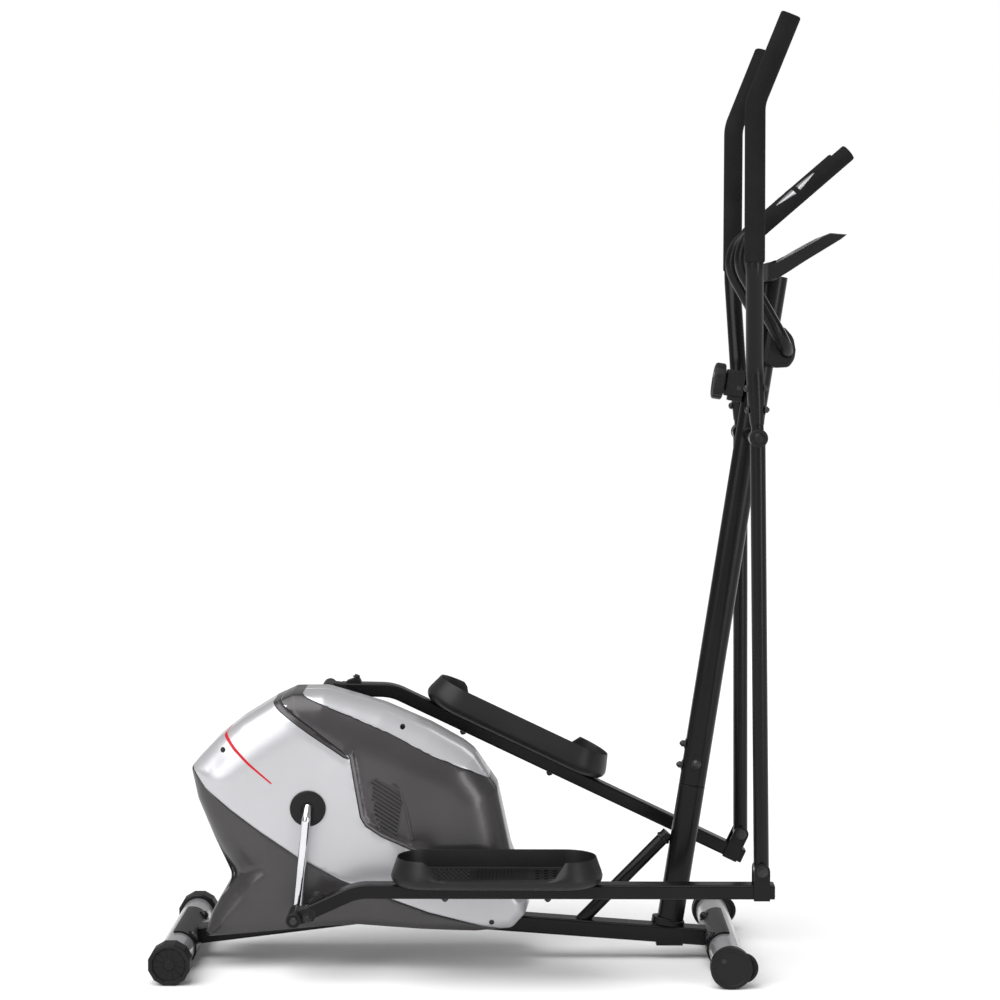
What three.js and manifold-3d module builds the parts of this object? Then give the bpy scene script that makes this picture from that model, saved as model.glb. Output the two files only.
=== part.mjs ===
// Elliptical trainer with a rear flywheel drive, in millimetres.
// +X is the way the rider faces, +Y is the rider's left, +Z is up, and Z = 0 is the floor.
// The right crank stands near its lowest point, so the right pedal is low and the left one is high.
import * as THREE from 'three';
import { mergeVertices } from 'three/addons/utils/BufferGeometryUtils.js';
import Module from 'manifold-3d';

const wasm = await Module();
wasm.setup();

// ---------------------------------------------------------------- driving dimensions
const SIDES = [['right', -1], ['left', 1]];
const GAP = 0.3;                                  // clearance between pieces that touch
const WALL = 2;                                   // wall of the steel tubes

const ARM_Y = 162;                                // swing arms and pedal arms, from the middle
const PIVOT = new THREE.Vector3(410, 0, 940);     // axis that both swing arms hang from
const CRANK = new THREE.Vector3(-368.3, 0, 287.5); // crank axis
const CRANK_RADIUS = 178.3;
const CRANK_LEAN = THREE.MathUtils.degToRad(5.73); // right crank, rearward of straight down
const SWING_LENGTH = 746;                         // swing pivot to lower pivot
const PEDAL_ARM_LENGTH = 811.4;                   // lower pivot to crank pin

const BEAM = { width: 40, height: 30, rear: [-615, 36], crown: [-250, 82], front: [385, 36] };
const REAR_FOOT = { x: -599, z: 36, tube: 29, length: 412 };
const FRONT_FOOT = { x: 365, z: 36, tube: 29, length: 412 };
const SADDLE = { inner: 29.3, outer: 32.5, half: 95 };
const LEVELLER = { radius: 37.27, sides: 12, inner: 174, outer: 211 };
const END_CAP = { radius: 36, plug: 26.6, flange: 206.4, face: 228, pocket: 208 };
const WHEEL = { x: 386, z: 35, radius: 25.6, inner: 209, outer: 222 };

const POST = { depth: 47, width: 38, wall: 2.5, lean: Math.atan(0.156), seam: 313, top: 1221 };
const AXLE_RADIUS = 8;
const HUB = { radius: 15.2, inner: 146, outer: 178 };
const SWING_TUBE = 13.3;
const HANDLE = { tube: 15, bore: 12.9, foam: 17.4, foamLow: 296 };

const ARM_TUBE = { width: 36, height: 25, drop: 37, front: 22, bend: -699 };
const PEDAL = { length: 365, inner: 104, outer: 240, centre: -457, floor: -8, rim: 25, bottom: -24 };

const BAR = { radius: 12.7, foam: 14.8, half: 92, x: 475, z: 1086 };
const CASING = { half: 100, bevel: 10, wall: 3 };
const PULLEY = { radius: 125, y0: 28, y1: 40 };
const FLYWHEEL = { x: -140, z: 215, radius: 112, half: 14, pulley: 20 };
const BELT = 3;
const BUTTON = { radius: 8, reach: 2 };

// ---------------------------------------------------------------- materials
const paint = (color, roughness, metalness) => new THREE.MeshStandardMaterial({ color, roughness, metalness });
const BLACK_PAINT = paint(0x1b191c, 0.25, 0.4);
const CHROME = paint(0xd8d8dc, 0.12, 1);
const ZINC = paint(0x9a9a9c, 0.4, 1);
const SILVER_TUBE = paint(0xc9c8cc, 0.3, 0.8);
const SILVER_PLASTIC = paint(0xcfd0d4, 0.35, 0.4);
const BLACK_PLASTIC = paint(0x232224, 0.55, 0);
const FOAM = paint(0x1d1d1e, 0.9, 0);
const RUBBER = paint(0x1a1a1a, 0.85, 0);
const CAST_IRON = paint(0x3a3a3c, 0.5, 0.8);
const GLASS = paint(0x10161a, 0.08, 0);

// ---------------------------------------------------------------- solids from three.js geometry
function toSolid(geometry) {
  const bare = geometry.clone();
  bare.deleteAttribute('normal');
  bare.deleteAttribute('uv');
  const merged = mergeVertices(bare, 1e-4);
  const vertProperties = new Float32Array(merged.attributes.position.array);
  const triVerts = new Uint32Array(merged.index.array);
  return new wasm.Manifold(new wasm.Mesh({ numProp: 3, vertProperties, triVerts }));
}

function toGeometry(solid) {
  const mesh = solid.getMesh();
  const geometry = new THREE.BufferGeometry();
  geometry.setAttribute('position', new THREE.BufferAttribute(mesh.vertProperties, 3));
  geometry.setIndex(new THREE.BufferAttribute(mesh.triVerts, 1));
  geometry.computeVertexNormals();
  return geometry;
}

const join = (first, ...others) => others.reduce((solid, other) => solid.add(other), first);
const cut = (solid, ...tools) => tools.reduce((rest, tool) => rest.subtract(tool), solid);
const spanY = (side, inner, outer) => [side * inner, side * outer].sort((a, b) => a - b);

function block([x0, x1], [y0, y1], [z0, z1]) {
  const geometry = new THREE.BoxGeometry(x1 - x0, y1 - y0, z1 - z0);
  return toSolid(geometry.translate((x0 + x1) / 2, (y0 + y1) / 2, (z0 + z1) / 2));
}

function discY(x, z, [y0, y1], radius, sides = 20) {
  const geometry = new THREE.CylinderGeometry(radius, radius, y1 - y0, sides);
  return toSolid(geometry.translate(x, (y0 + y1) / 2, z));
}

function ringY(x, z, [y0, y1], radius, hole, sides = 20) {
  return cut(discY(x, z, [y0, y1], radius, sides), discY(x, z, [y0 - 1, y1 + 1], hole, sides));
}

function rod(from, to, radius, sides = 14, endRadius = radius) {
  const axis = to.clone().sub(from);
  const geometry = new THREE.CylinderGeometry(endRadius, radius, axis.length(), sides);
  const turn = new THREE.Quaternion().setFromUnitVectors(new THREE.Vector3(0, 1, 0), axis.clone().normalize());
  geometry.applyQuaternion(turn);
  const middle = from.clone().add(to).multiplyScalar(0.5);
  return toSolid(geometry.translate(middle.x, middle.y, middle.z));
}

// A flat plate whose outline lies in the XZ plane.
function plateY(corners, [y0, y1]) {
  const shape = new THREE.Shape(corners.map(([x, z]) => new THREE.Vector2(x, z)));
  const geometry = new THREE.ExtrudeGeometry(shape, { depth: y1 - y0, bevelEnabled: false });
  return toSolid(geometry.rotateX(Math.PI / 2).translate(0, y1, 0));
}

function arcPoints(x, z, radius, fromDegrees, toDegrees, steps) {
  return Array.from({ length: steps + 1 }, (_, i) => {
    const angle = THREE.MathUtils.degToRad(fromDegrees + (toDegrees - fromDegrees) * i / steps);
    return [x + radius * Math.cos(angle), z + radius * Math.sin(angle)];
  });
}

function curvedPlate(x, z, inner, outer, from, to, steps, band) {
  const outside = arcPoints(x, z, outer, from, to, steps);
  const inside = arcPoints(x, z, inner, to, from, steps);
  return plateY([...outside, ...inside], band);
}

// ---------------------------------------------------------------- tubes along a route
// Straight runs between corners, with an arc of the given radius at each corner.
function roundedPath(corners, radius, steps = 4) {
  const path = [corners[0].clone()];
  for (let i = 1; i < corners.length - 1; i += 1) {
    const into = corners[i].clone().sub(corners[i - 1]).normalize();
    const out = corners[i + 1].clone().sub(corners[i]).normalize();
    const turn = into.angleTo(out);
    const inward = out.clone().sub(into).normalize();
    const centre = corners[i].clone().addScaledVector(inward, radius / Math.cos(turn / 2));
    const start = corners[i].clone().addScaledVector(into, -radius * Math.tan(turn / 2));
    const axis = into.clone().cross(out).normalize();
    for (let k = 0; k <= steps; k += 1) {
      path.push(start.clone().sub(centre).applyAxisAngle(axis, turn * k / steps).add(centre));
    }
  }
  path.push(corners.at(-1).clone());
  return path;
}

// A curve that visits each point of a path in turn. A level route keeps its section upright.
class Route extends THREE.Curve {
  constructor(points, level = false) {
    super();
    this.points = points;
    this.level = level;
  }

  getPoint(t, target = new THREE.Vector3()) {
    const place = t * (this.points.length - 1);
    const index = Math.min(Math.floor(place), this.points.length - 2);
    return target.lerpVectors(this.points[index], this.points[index + 1], place - index);
  }

  getPointAt(t, target) {
    return this.getPoint(t, target);
  }

  getTangentAt(t, target = new THREE.Vector3()) {
    const index = Math.round(t * (this.points.length - 1));
    const here = this.points[index];
    const before = this.points[index - 1] ?? here;
    const after = this.points[index + 1] ?? here;
    const into = here.clone().sub(before).normalize();
    const out = after.clone().sub(here).normalize();
    return target.copy(into).add(out).normalize();
  }

  computeFrenetFrames(segments, closed) {
    if (!this.level) return super.computeFrenetFrames(segments, closed);
    const frames = { tangents: [], normals: [], binormals: [] };
    for (let i = 0; i <= segments; i += 1) {
      const tangent = this.getTangentAt(i / segments);
      const normal = new THREE.Vector3(0, 1, 0);
      frames.tangents.push(tangent);
      frames.normals.push(normal);
      frames.binormals.push(tangent.clone().cross(normal));
    }
    return frames;
  }
}

function circle(radius, sides) {
  return arcPoints(0, 0, radius, 0, 360 * (1 - 1 / sides), sides - 1);
}

function rectangle(width, height) {
  return [[-width / 2, -height / 2], [width / 2, -height / 2], [width / 2, height / 2], [-width / 2, height / 2]];
}

function oval(width, depth, sides = 14) {
  return circle(1, sides).map(([x, y]) => [x * width / 2, y * depth / 2]);
}

function sweep(section, points, level = false) {
  const shape = new THREE.Shape(section.map(([x, y]) => new THREE.Vector2(x, y)));
  const settings = { steps: points.length - 1, extrudePath: new Route(points, level), bevelEnabled: false };
  return toSolid(new THREE.ExtrudeGeometry(shape, settings));
}

// Moves the first and last points of a path outward along it, so that a bore runs clear.
function longer(points, amount) {
  const path = points.map((point) => point.clone());
  path[0].addScaledVector(points[0].clone().sub(points[1]).normalize(), amount);
  path.at(-1).addScaledVector(points.at(-1).clone().sub(points.at(-2)).normalize(), amount);
  return path;
}

function hollowTube(points, radius, wall, sides = 14) {
  const bore = sweep(circle(radius - wall, sides), longer(points, 1));
  return cut(sweep(circle(radius, sides), points), bore);
}

// ---------------------------------------------------------------- the group and its nodes
const trainer = new THREE.Group();

function node(name, solid, material, parent = trainer) {
  const mesh = new THREE.Mesh(toGeometry(solid), material);
  mesh.name = name;
  parent.add(mesh);
  return mesh;
}

function placed(x, z, turn = 0) {
  const group = new THREE.Group();
  group.position.set(x, 0, z);
  group.rotation.y = turn;
  trainer.add(group);
  return group;
}

// ---------------------------------------------------------------- linkage positions
const pinOf = (side) => {
  const down = side < 0 ? 1 : -1;
  const x = CRANK.x - down * CRANK_RADIUS * Math.sin(CRANK_LEAN);
  const z = CRANK.z - down * CRANK_RADIUS * Math.cos(CRANK_LEAN);
  return new THREE.Vector3(x, 0, z);
};

// The lower pivot is where the swing arm's circle and the pedal arm's circle meet, below the pin line.
function lowerPivot(pin) {
  const line = PIVOT.clone().sub(pin);
  const distance = line.length();
  const along = (PEDAL_ARM_LENGTH ** 2 + distance ** 2 - SWING_LENGTH ** 2) / (2 * distance);
  const off = Math.sqrt(PEDAL_ARM_LENGTH ** 2 - along ** 2);
  const forward = line.normalize();
  const down = new THREE.Vector3(forward.z, 0, -forward.x);
  return pin.clone().addScaledVector(forward, along).addScaledVector(down, off);
}

const RIGHT_PIN = pinOf(-1);
const RIGHT_Q = lowerPivot(RIGHT_PIN);
const tiltOf = (pin, pivot) => Math.atan2(pin.z - pivot.z, pivot.x - pin.x);
const RIGHT_TILT = tiltOf(RIGHT_PIN, RIGHT_Q);

// ---------------------------------------------------------------- floor frame
const at = ([x, z], y = 0) => new THREE.Vector3(x, y, z);

function beamTop(x) {
  const [nearX, nearZ] = x < BEAM.crown[0] ? BEAM.rear : BEAM.front;
  const slope = (BEAM.crown[1] - nearZ) / (BEAM.crown[0] - nearX);
  return BEAM.crown[1] + slope * (x - BEAM.crown[0]) + BEAM.height / 2 * Math.hypot(1, slope);
}

function aboveBeam(x0, x1, clearance) {
  const floor = [[x0, -50], [x0, beamTop(x0) + clearance], [x1, beamTop(x1) + clearance], [x1, -50]];
  return plateY(floor, [-60, 60]);
}

const beamPath = roundedPath([at(BEAM.rear), at(BEAM.crown), at(BEAM.front)], 300, 5);
const beamSolid = sweep(rectangle(BEAM.width, BEAM.height), beamPath, true);
const beamBore = sweep(rectangle(BEAM.width - 2 * WALL, BEAM.height - 2 * WALL), longer(beamPath, 5), true);
const footHole = (foot, radius) => discY(foot.x, foot.z, [-60, 60], radius, 32);
const postX = (z) => PIVOT.x + (z - PIVOT.z) * Math.tan(POST.lean);
const underPost = block([248, 296], [-POST.width / 2, POST.width / 2], [24, 34]);

node('main_beam', cut(
  join(cut(beamSolid, beamBore), underPost),
  footHole(REAR_FOOT, SADDLE.outer + GAP),
  footHole(FRONT_FOOT, SADDLE.outer + GAP),
), BLACK_PAINT);

function boltHoles(foot, angle) {
  const away = new THREE.Vector3(Math.cos(angle), 0, Math.sin(angle));
  return [-1, 1].map((side) => {
    const centre = new THREE.Vector3(foot.x, side * 75, foot.z);
    return rod(centre, centre.clone().addScaledVector(away, 60), 4.3, 10);
  });
}

function stabiliser(name, foot, from, to, boltAngle) {
  const half = foot.length / 2;
  const holes = boltHoles(foot, boltAngle);
  const tube = cut(ringY(foot.x, foot.z, [-half, half], foot.tube, foot.tube - WALL, 20), ...holes);
  node(`${name}_stabiliser_tube`, tube, SILVER_TUBE);
  const band = [-SADDLE.half, SADDLE.half];
  const saddle = curvedPlate(foot.x, foot.z, SADDLE.inner + GAP, SADDLE.outer, from, to, 8, band);
  node(`${name}_saddle`, cut(saddle, ...holes), BLACK_PAINT);
}

stabiliser('rear', REAR_FOOT, -70, 105, THREE.MathUtils.degToRad(40));
stabiliser('front', FRONT_FOOT, 75, 250, THREE.MathUtils.degToRad(140));

for (const [hand, side] of SIDES) {
  const half = REAR_FOOT.length / 2;
  const cup = discY(0, 0, spanY(side, LEVELLER.inner, LEVELLER.outer), LEVELLER.radius, LEVELLER.sides);
  const recess = discY(0, 0, spanY(side, LEVELLER.inner - 1, half + GAP), REAR_FOOT.tube + GAP + 0.4, 20);
  const levelling = placed(REAR_FOOT.x, REAR_FOOT.z, Math.PI / LEVELLER.sides);
  node(`rear_levelling_cap_${hand}`, cut(cup, recess), BLACK_PLASTIC, levelling);
}

for (const [hand, side] of SIDES) {
  const half = FRONT_FOOT.length / 2;
  const head = discY(FRONT_FOOT.x, FRONT_FOOT.z, spanY(side, END_CAP.flange, END_CAP.face), END_CAP.radius, 24);
  const plug = discY(FRONT_FOOT.x, FRONT_FOOT.z, spanY(side, half - 30, END_CAP.flange + 1), END_CAP.plug, 20);
  const pocket = discY(WHEEL.x, WHEEL.z, spanY(side, END_CAP.pocket, WHEEL.outer + 1), WHEEL.radius + 1.2, 20);
  const axle = discY(WHEEL.x, WHEEL.z, spanY(side, END_CAP.pocket - 1, WHEEL.outer + 2), 4, 12);
  node(`front_end_cap_${hand}`, join(cut(join(head, plug), pocket), axle), BLACK_PLASTIC);
  const tyre = ringY(WHEEL.x, WHEEL.z, spanY(side, WHEEL.inner, WHEEL.outer), WHEEL.radius, 4.4, 20);
  node(`transport_wheel_${hand}`, tyre, BLACK_PLASTIC);
}

// ---------------------------------------------------------------- upright and post
// Both are oval tubes on one leaning axis, so they are drawn upright and then turned.
function ovalTube(depth, width, wall, z0, z1) {
  const low = new THREE.Vector3(0, 0, z0);
  const high = new THREE.Vector3(0, 0, z1);
  const outside = sweep(oval(width, depth), [low, high], true);
  const inside = sweep(oval(width - 2 * wall, depth - 2 * wall), longer([low, high], 1), true);
  return cut(outside, inside);
}

const lean = new THREE.Matrix4().makeRotationY(POST.lean).setPosition(PIVOT.x, 0, PIVOT.z);
function leaned(solid) {
  return toSolid(toGeometry(solid).applyMatrix4(lean));
}

const onPost = (z) => (z - PIVOT.z) / Math.cos(POST.lean);
const innerDepth = POST.depth - 2 * POST.wall;
const innerWidth = POST.width - 2 * POST.wall;
const seam = onPost(POST.seam);
const socket = ovalTube(POST.depth, POST.width, POST.wall, onPost(0), seam);
const collar = ovalTube(innerDepth + 0.6, innerWidth + 0.6, POST.wall + 0.3, seam - 45, seam);
const insert = ovalTube(innerDepth - 0.8, innerWidth - 0.8, POST.wall - 0.4, seam - 5, seam + 110);
const boltSpots = [345, 383].map((z) => new THREE.Vector3(postX(z), 0, z));
const backward = new THREE.Vector3(-Math.cos(POST.lean), 0, Math.sin(POST.lean));
const postBolt = (spot, radius) => rod(spot, spot.clone().addScaledVector(backward, 60), radius, 12);
const postHoles = boltSpots.map((spot) => postBolt(spot, 4.3));
node('upright_socket', cut(
  join(leaned(socket), leaned(collar), leaned(insert)),
  aboveBeam(150, 400, GAP),
  ...postHoles,
), BLACK_PAINT);

const braceLow = new THREE.Vector3(100, 0, 51.7);
const braceHigh = new THREE.Vector3(300, 0, 256);
const braceTube = hollowTube([braceLow, braceHigh], 11.5, WALL, 14);
const postClear = toSolid(toGeometry(sweep(
  oval(POST.width + 2 * GAP, POST.depth + 2 * GAP),
  [new THREE.Vector3(0, 0, onPost(0)), new THREE.Vector3(0, 0, onPost(400))],
  true,
)).applyMatrix4(lean));
node('diagonal_brace', cut(braceTube, postClear, aboveBeam(0, 300, GAP), block([278, 360], [-30, 30], [150, 400])),
  BLACK_PAINT);

const handlebarPost = leaned(ovalTube(POST.depth, POST.width, POST.wall, seam + GAP, onPost(POST.top)));
const axleSleeve = discY(PIVOT.x, PIVOT.z, [-27, 27], 14);
const axleHole = discY(PIVOT.x, PIVOT.z, [-200, 200], AXLE_RADIUS + GAP);
node('handlebar_post', cut(join(handlebarPost, axleSleeve), axleHole, ...postHoles), BLACK_PAINT);
node('pivot_axle', discY(PIVOT.x, PIVOT.z, [-HUB.outer, HUB.outer], AXLE_RADIUS), CHROME);

// ---------------------------------------------------------------- swing arms
// Drawn about the swing pivot, hanging straight down, then turned to meet the pedal arm.
function swingArm(side) {
  const y = side * ARM_Y;
  const down = (z) => new THREE.Vector3(0, y, z);
  const hub = discY(0, 0, spanY(side, HUB.inner, HUB.outer), HUB.radius);
  const tube = rod(down(-SWING_LENGTH), down(0), SWING_TUBE);
  const [foot, next] = handleRoute(side);
  const along = next.clone().sub(foot).normalize();
  const neck = rod(down(5), foot.clone().addScaledVector(along, 18), 10.5);
  const insertRod = rod(foot.clone().addScaledVector(along, 12), foot.clone().addScaledVector(along, 76), 12.2);
  const eye = discY(0, -SWING_LENGTH, spanY(side, ARM_Y - 16.8, ARM_Y + 16.8), SWING_TUBE);
  const bore = rod(down(18 - SWING_LENGTH), down(-20), SWING_TUBE - WALL);
  const drain = rod(down(30 - SWING_LENGTH), new THREE.Vector3(-40, y, 30 - SWING_LENGTH), 2.5, 8);
  const pivotHole = discY(0, 0, spanY(side, HUB.inner - 9, HUB.outer + 9), AXLE_RADIUS + GAP);
  const pinHole = discY(0, -SWING_LENGTH, spanY(side, ARM_Y - 30, ARM_Y + 30), 5.4, 12);
  return cut(join(hub, tube, neck, insertRod, eye), bore, drain, pivotHole, pinHole);
}

function handleRoute(side) {
  const point = (x, y, z) => new THREE.Vector3(x, side * y, z);
  return roundedPath([
    point(-0.7, ARM_Y, 22),
    point(-4.4, ARM_Y, 120),
    point(-9.2, 226, 283),
    point(-6.5, 232, 562),
    point(51, 252, 701),
  ], 70, 3);
}

// The stretch of a route above a given height, starting exactly at that height.
function routeAbove(route, z) {
  const first = route.findIndex((point) => point.z > z);
  const share = (z - route[first - 1].z) / (route[first].z - route[first - 1].z);
  const start = route[first - 1].clone().lerp(route[first], share);
  return [start, ...route.slice(first)];
}

for (const [hand, side] of SIDES) {
  const lower = side < 0 ? RIGHT_Q : lowerPivot(pinOf(side));
  const swing = placed(PIVOT.x, PIVOT.z, Math.atan2(PIVOT.x - lower.x, PIVOT.z - lower.z));
  node(`swing_lower_arm_${hand}`, swingArm(side), BLACK_PAINT, swing);

  const route = handleRoute(side);
  const bore = sweep(circle(HANDLE.bore, 12), longer(route, 1));
  const tube = cut(sweep(circle(HANDLE.tube, 12), route), bore);
  node(`swing_upper_handle_${hand}`, tube, BLACK_PAINT, swing);

  const covered = routeAbove(route, HANDLE.foamLow);
  const end = covered.at(-1).clone().sub(covered.at(-2)).normalize();
  const sleeve = covered.map((point) => point.clone());
  sleeve.at(-1).addScaledVector(end, 4);
  const inside = [covered[0].clone(), ...covered.slice(1, -1), covered.at(-1).clone().addScaledVector(end, GAP)];
  inside[0].addScaledVector(covered[1].clone().sub(covered[0]).normalize(), -1);
  const foam = cut(sweep(circle(HANDLE.foam, 12), sleeve), sweep(circle(HANDLE.tube + 0.7, 12), inside));
  node(`foam_grip_${hand}`, foam, FOAM, swing);

  const cap = discY(0, 0, spanY(side, HUB.outer + GAP, HUB.outer + 6), HUB.radius + 0.6);
  const head = discY(0, 0, spanY(side, HUB.outer + 5, HUB.outer + 11), 8.5, 6);
  node(`pivot_cap_${hand}`, join(cap, head), BLACK_PLASTIC, swing);
}

// ---------------------------------------------------------------- pedal arms and pedals
// Drawn about the lower pivot with the long tube level, then turned with the linkage.
const pinInArm = RIGHT_PIN.clone().sub(RIGHT_Q);

function pedalArm(side) {
  const y = side * ARM_Y;
  const point = (x, z) => new THREE.Vector3(x, y, z);
  const corners = [point(ARM_TUBE.front, -ARM_TUBE.drop), point(ARM_TUBE.bend, -ARM_TUBE.drop)];
  corners.push(point(pinInArm.x + 22, pinInArm.z + 8));
  const path = roundedPath(corners, 60, 3);
  const tube = sweep(rectangle(ARM_TUBE.width, ARM_TUBE.height), path, true);
  const bore = sweep(rectangle(ARM_TUBE.width - 2 * WALL, ARM_TUBE.height - 2 * WALL), longer(path, 1), true);
  const half = ARM_TUBE.width / 2;
  const plates = [-1, 1].map((face) => {
    const band = spanY(side, ARM_Y + face * (half - 0.3), ARM_Y + face * (half + 3.2));
    const bottom = -ARM_TUBE.drop - ARM_TUBE.height / 2 - 2;
    const corner = [[-14.5, bottom], [13.5, bottom]];
    const crown = arcPoints(-0.5, 0, 14, 0, 180, 8);
    return plateY([...corner, ...crown], band.sort((a, b) => a - b));
  });
  const holeBand = spanY(side, ARM_Y - 40, ARM_Y + 40);
  return cut(join(cut(tube, bore), ...plates), discY(0, 0, holeBand, 5.4, 12));
}

function roundedRectangle(length, width, radius, steps = 4) {
  const corners = [[1, 1, 0], [-1, 1, 90], [-1, -1, 180], [1, -1, 270]];
  return corners.flatMap(([sx, sy, start]) => (
    arcPoints(sx * (length / 2 - radius), sy * (width / 2 - radius), radius, start, start + 90, steps)
  ));
}

function tray(outline, x, y, z0, z1, bevel) {
  const shape = new THREE.Shape(outline.map(([px, py]) => new THREE.Vector2(px, py)));
  const settings = { depth: z1 - z0 - 2 * bevel.rise, bevelEnabled: bevel.rise > 0, bevelSegments: 1 };
  Object.assign(settings, { bevelSize: bevel.inset, bevelThickness: bevel.rise, bevelOffset: -bevel.inset });
  return toSolid(new THREE.ExtrudeGeometry(shape, settings).translate(x, y, z0 + bevel.rise));
}

function pedal(side) {
  const width = PEDAL.outer - PEDAL.inner;
  const y = side * (PEDAL.inner + PEDAL.outer) / 2;
  const flat = { inset: 0, rise: 0 };
  const body = tray(roundedRectangle(PEDAL.length, width, 62), PEDAL.centre, y, PEDAL.bottom + GAP, PEDAL.rim,
    { inset: 9, rise: 20 });
  const inside = roundedRectangle(PEDAL.length - 30, width - 28, 52);
  const pocket = tray(inside, PEDAL.centre, y, PEDAL.floor, PEDAL.rim + 5, flat);
  const under = tray(roundedRectangle(PEDAL.length - 40, 86, 20), PEDAL.centre, y + side * 18, PEDAL.bottom - 5,
    PEDAL.floor - 4, flat);
  const opening = block([PEDAL.centre - 109, PEDAL.centre + 112], spanY(side, PEDAL.outer - 25, PEDAL.outer + 5),
    [PEDAL.floor + 3, PEDAL.rim + 5]);
  return cut(body, pocket, under, opening);
}

for (const [hand, side] of SIDES) {
  const pin = pinOf(side);
  const lower = lowerPivot(pin);
  const linkage = placed(lower.x, lower.z, tiltOf(pin, lower) - RIGHT_TILT);
  node(`pedal_arm_${hand}`, pedalArm(side), BLACK_PAINT, linkage);
  node(`pedal_${hand}`, pedal(side), BLACK_PLASTIC, linkage);

  const shank = discY(0, 0, spanY(side, ARM_Y - 24, ARM_Y + 24), 5, 12);
  const heads = [-1, 1].map((face) => {
    const start = ARM_Y + face * (ARM_TUBE.width / 2 + 3.5);
    return discY(0, 0, spanY(side, start, start + face * 5), 8.5, 6);
  });
  node(`clevis_pin_${hand}`, join(shank, ...heads), ZINC, linkage);

  const barrel = discY(pinInArm.x, pinInArm.z, spanY(side, 126, 196), 13);
  const tip = discY(pinInArm.x, pinInArm.z, spanY(side, 195, 201), 9, 6);
  const clear = sweep(rectangle(ARM_TUBE.width + 1, ARM_TUBE.height + 1), [
    new THREE.Vector3(pinInArm.x + 120, side * ARM_Y, pinInArm.z + 8 + 98 * 0.37),
    new THREE.Vector3(pinInArm.x + 21.6, side * ARM_Y, pinInArm.z + 7.8),
  ], true);
  const neck = block([pinInArm.x, pinInArm.x + 30], spanY(side, 183, 191), [pinInArm.z - 7, pinInArm.z + 17]);
  const bolt = discY(pinInArm.x + 23, pinInArm.z + 4, spanY(side, 190, 196), 6, 6);
  node(`crank_pin_housing_${hand}`, join(cut(join(barrel, neck), clear), tip, bolt), BLACK_PLASTIC, linkage);
}

// ---------------------------------------------------------------- cranks and drive
for (const [hand, side] of SIDES) {
  const turn = side < 0 ? CRANK_LEAN : CRANK_LEAN + Math.PI;
  const crank = placed(CRANK.x, CRANK.z, turn);
  const point = (y, z) => new THREE.Vector3(0, side * y, z);
  const bent = roundedPath([point(104, 0), point(117, -14), point(117, -CRANK_RADIUS)], 14, 3);
  const bar = sweep(circle(8, 12), bent);
  const eye = discY(0, -CRANK_RADIUS, spanY(side, 108.5, 125.5), 11.5, 18);
  node(`crank_arm_${hand}`, join(bar, eye), CHROME, crank);
  const disc = ringY(0, 0, spanY(side, CASING.half + 0.6, CASING.half + 5.6), 31.5, 20, 24);
  const web = ringY(0, 0, spanY(side, CASING.half + 2, CASING.half + 5.6), 21, 9.4, 18);
  node(`crank_cover_disc_${hand}`, cut(join(disc, web), sweep(circle(8.6, 12), bent)), BLACK_PLASTIC, crank);
}

const AXLE_HALF = 97.5;
node('crank_axle', discY(CRANK.x, CRANK.z, [-AXLE_HALF, AXLE_HALF], 9, 12), ZINC);
const outerRaces = join(...[[-62, -50], [12, 24]].map((band) => discY(CRANK.x, CRANK.z, band, 17, 18)));
const spacer = discY(CRANK.x, CRANK.z, [-51, 13], 12, 12);
node('crank_bearing', cut(join(outerRaces, spacer), discY(CRANK.x, CRANK.z, [-70, 30], 9 + GAP, 12)), ZINC);

const shell = discY(CRANK.x, CRANK.z, [-63, 25], 21);
const bearingBore = discY(CRANK.x, CRANK.z, [-70, 30], 17 + GAP);
const towerX = [CRANK.x - 20, CRANK.x + 20];
const towerBox = block(towerX, [-15, 15], [60, CRANK.z - 10]);
const towerBore = block([towerX[0] + WALL, towerX[1] - WALL], [-15 + WALL, 15 - WALL], [50, CRANK.z - 30]);
node('axle_tower', cut(join(cut(towerBox, towerBore), shell), bearingBore, aboveBeam(-450, -280, GAP)),
  BLACK_PAINT);

const pulleyBand = [PULLEY.y0, PULLEY.y1];
const crankPulley = ringY(CRANK.x, CRANK.z, pulleyBand, PULLEY.radius, 9 + GAP, 36);
const spokes = [45, 135, 225, 315].map((degrees) => {
  const angle = THREE.MathUtils.degToRad(degrees);
  const x = CRANK.x + 72 * Math.cos(angle);
  const z = CRANK.z + 72 * Math.sin(angle);
  return discY(x, z, [PULLEY.y0 - 1, PULLEY.y1 + 1], 30, 10);
});
node('crank_pulley', cut(crankPulley, ...spokes), BLACK_PLASTIC);

// The belt's two straight runs lie on the outer tangents of the two pulleys.
function beltLoop(grow) {
  const dx = FLYWHEEL.x - CRANK.x;
  const dz = FLYWHEEL.z - CRANK.z;
  const heading = THREE.MathUtils.radToDeg(Math.atan2(dz, dx));
  const split = THREE.MathUtils.radToDeg(Math.acos((PULLEY.radius - FLYWHEEL.pulley) / Math.hypot(dx, dz)));
  const big = arcPoints(CRANK.x, CRANK.z, PULLEY.radius + grow, heading + split, heading + 360 - split, 22);
  const small = arcPoints(FLYWHEEL.x, FLYWHEEL.z, FLYWHEEL.pulley + grow, heading - split, heading + split, 7);
  return [...big, ...small];
}

const beltBand = [PULLEY.y0 + 1, PULLEY.y1 - 1];
const beltInside = plateY(beltLoop(1), [beltBand[0] - 1, beltBand[1] + 1]);
node('drive_belt', cut(plateY(beltLoop(1 + BELT), beltBand), beltInside), RUBBER);

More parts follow.
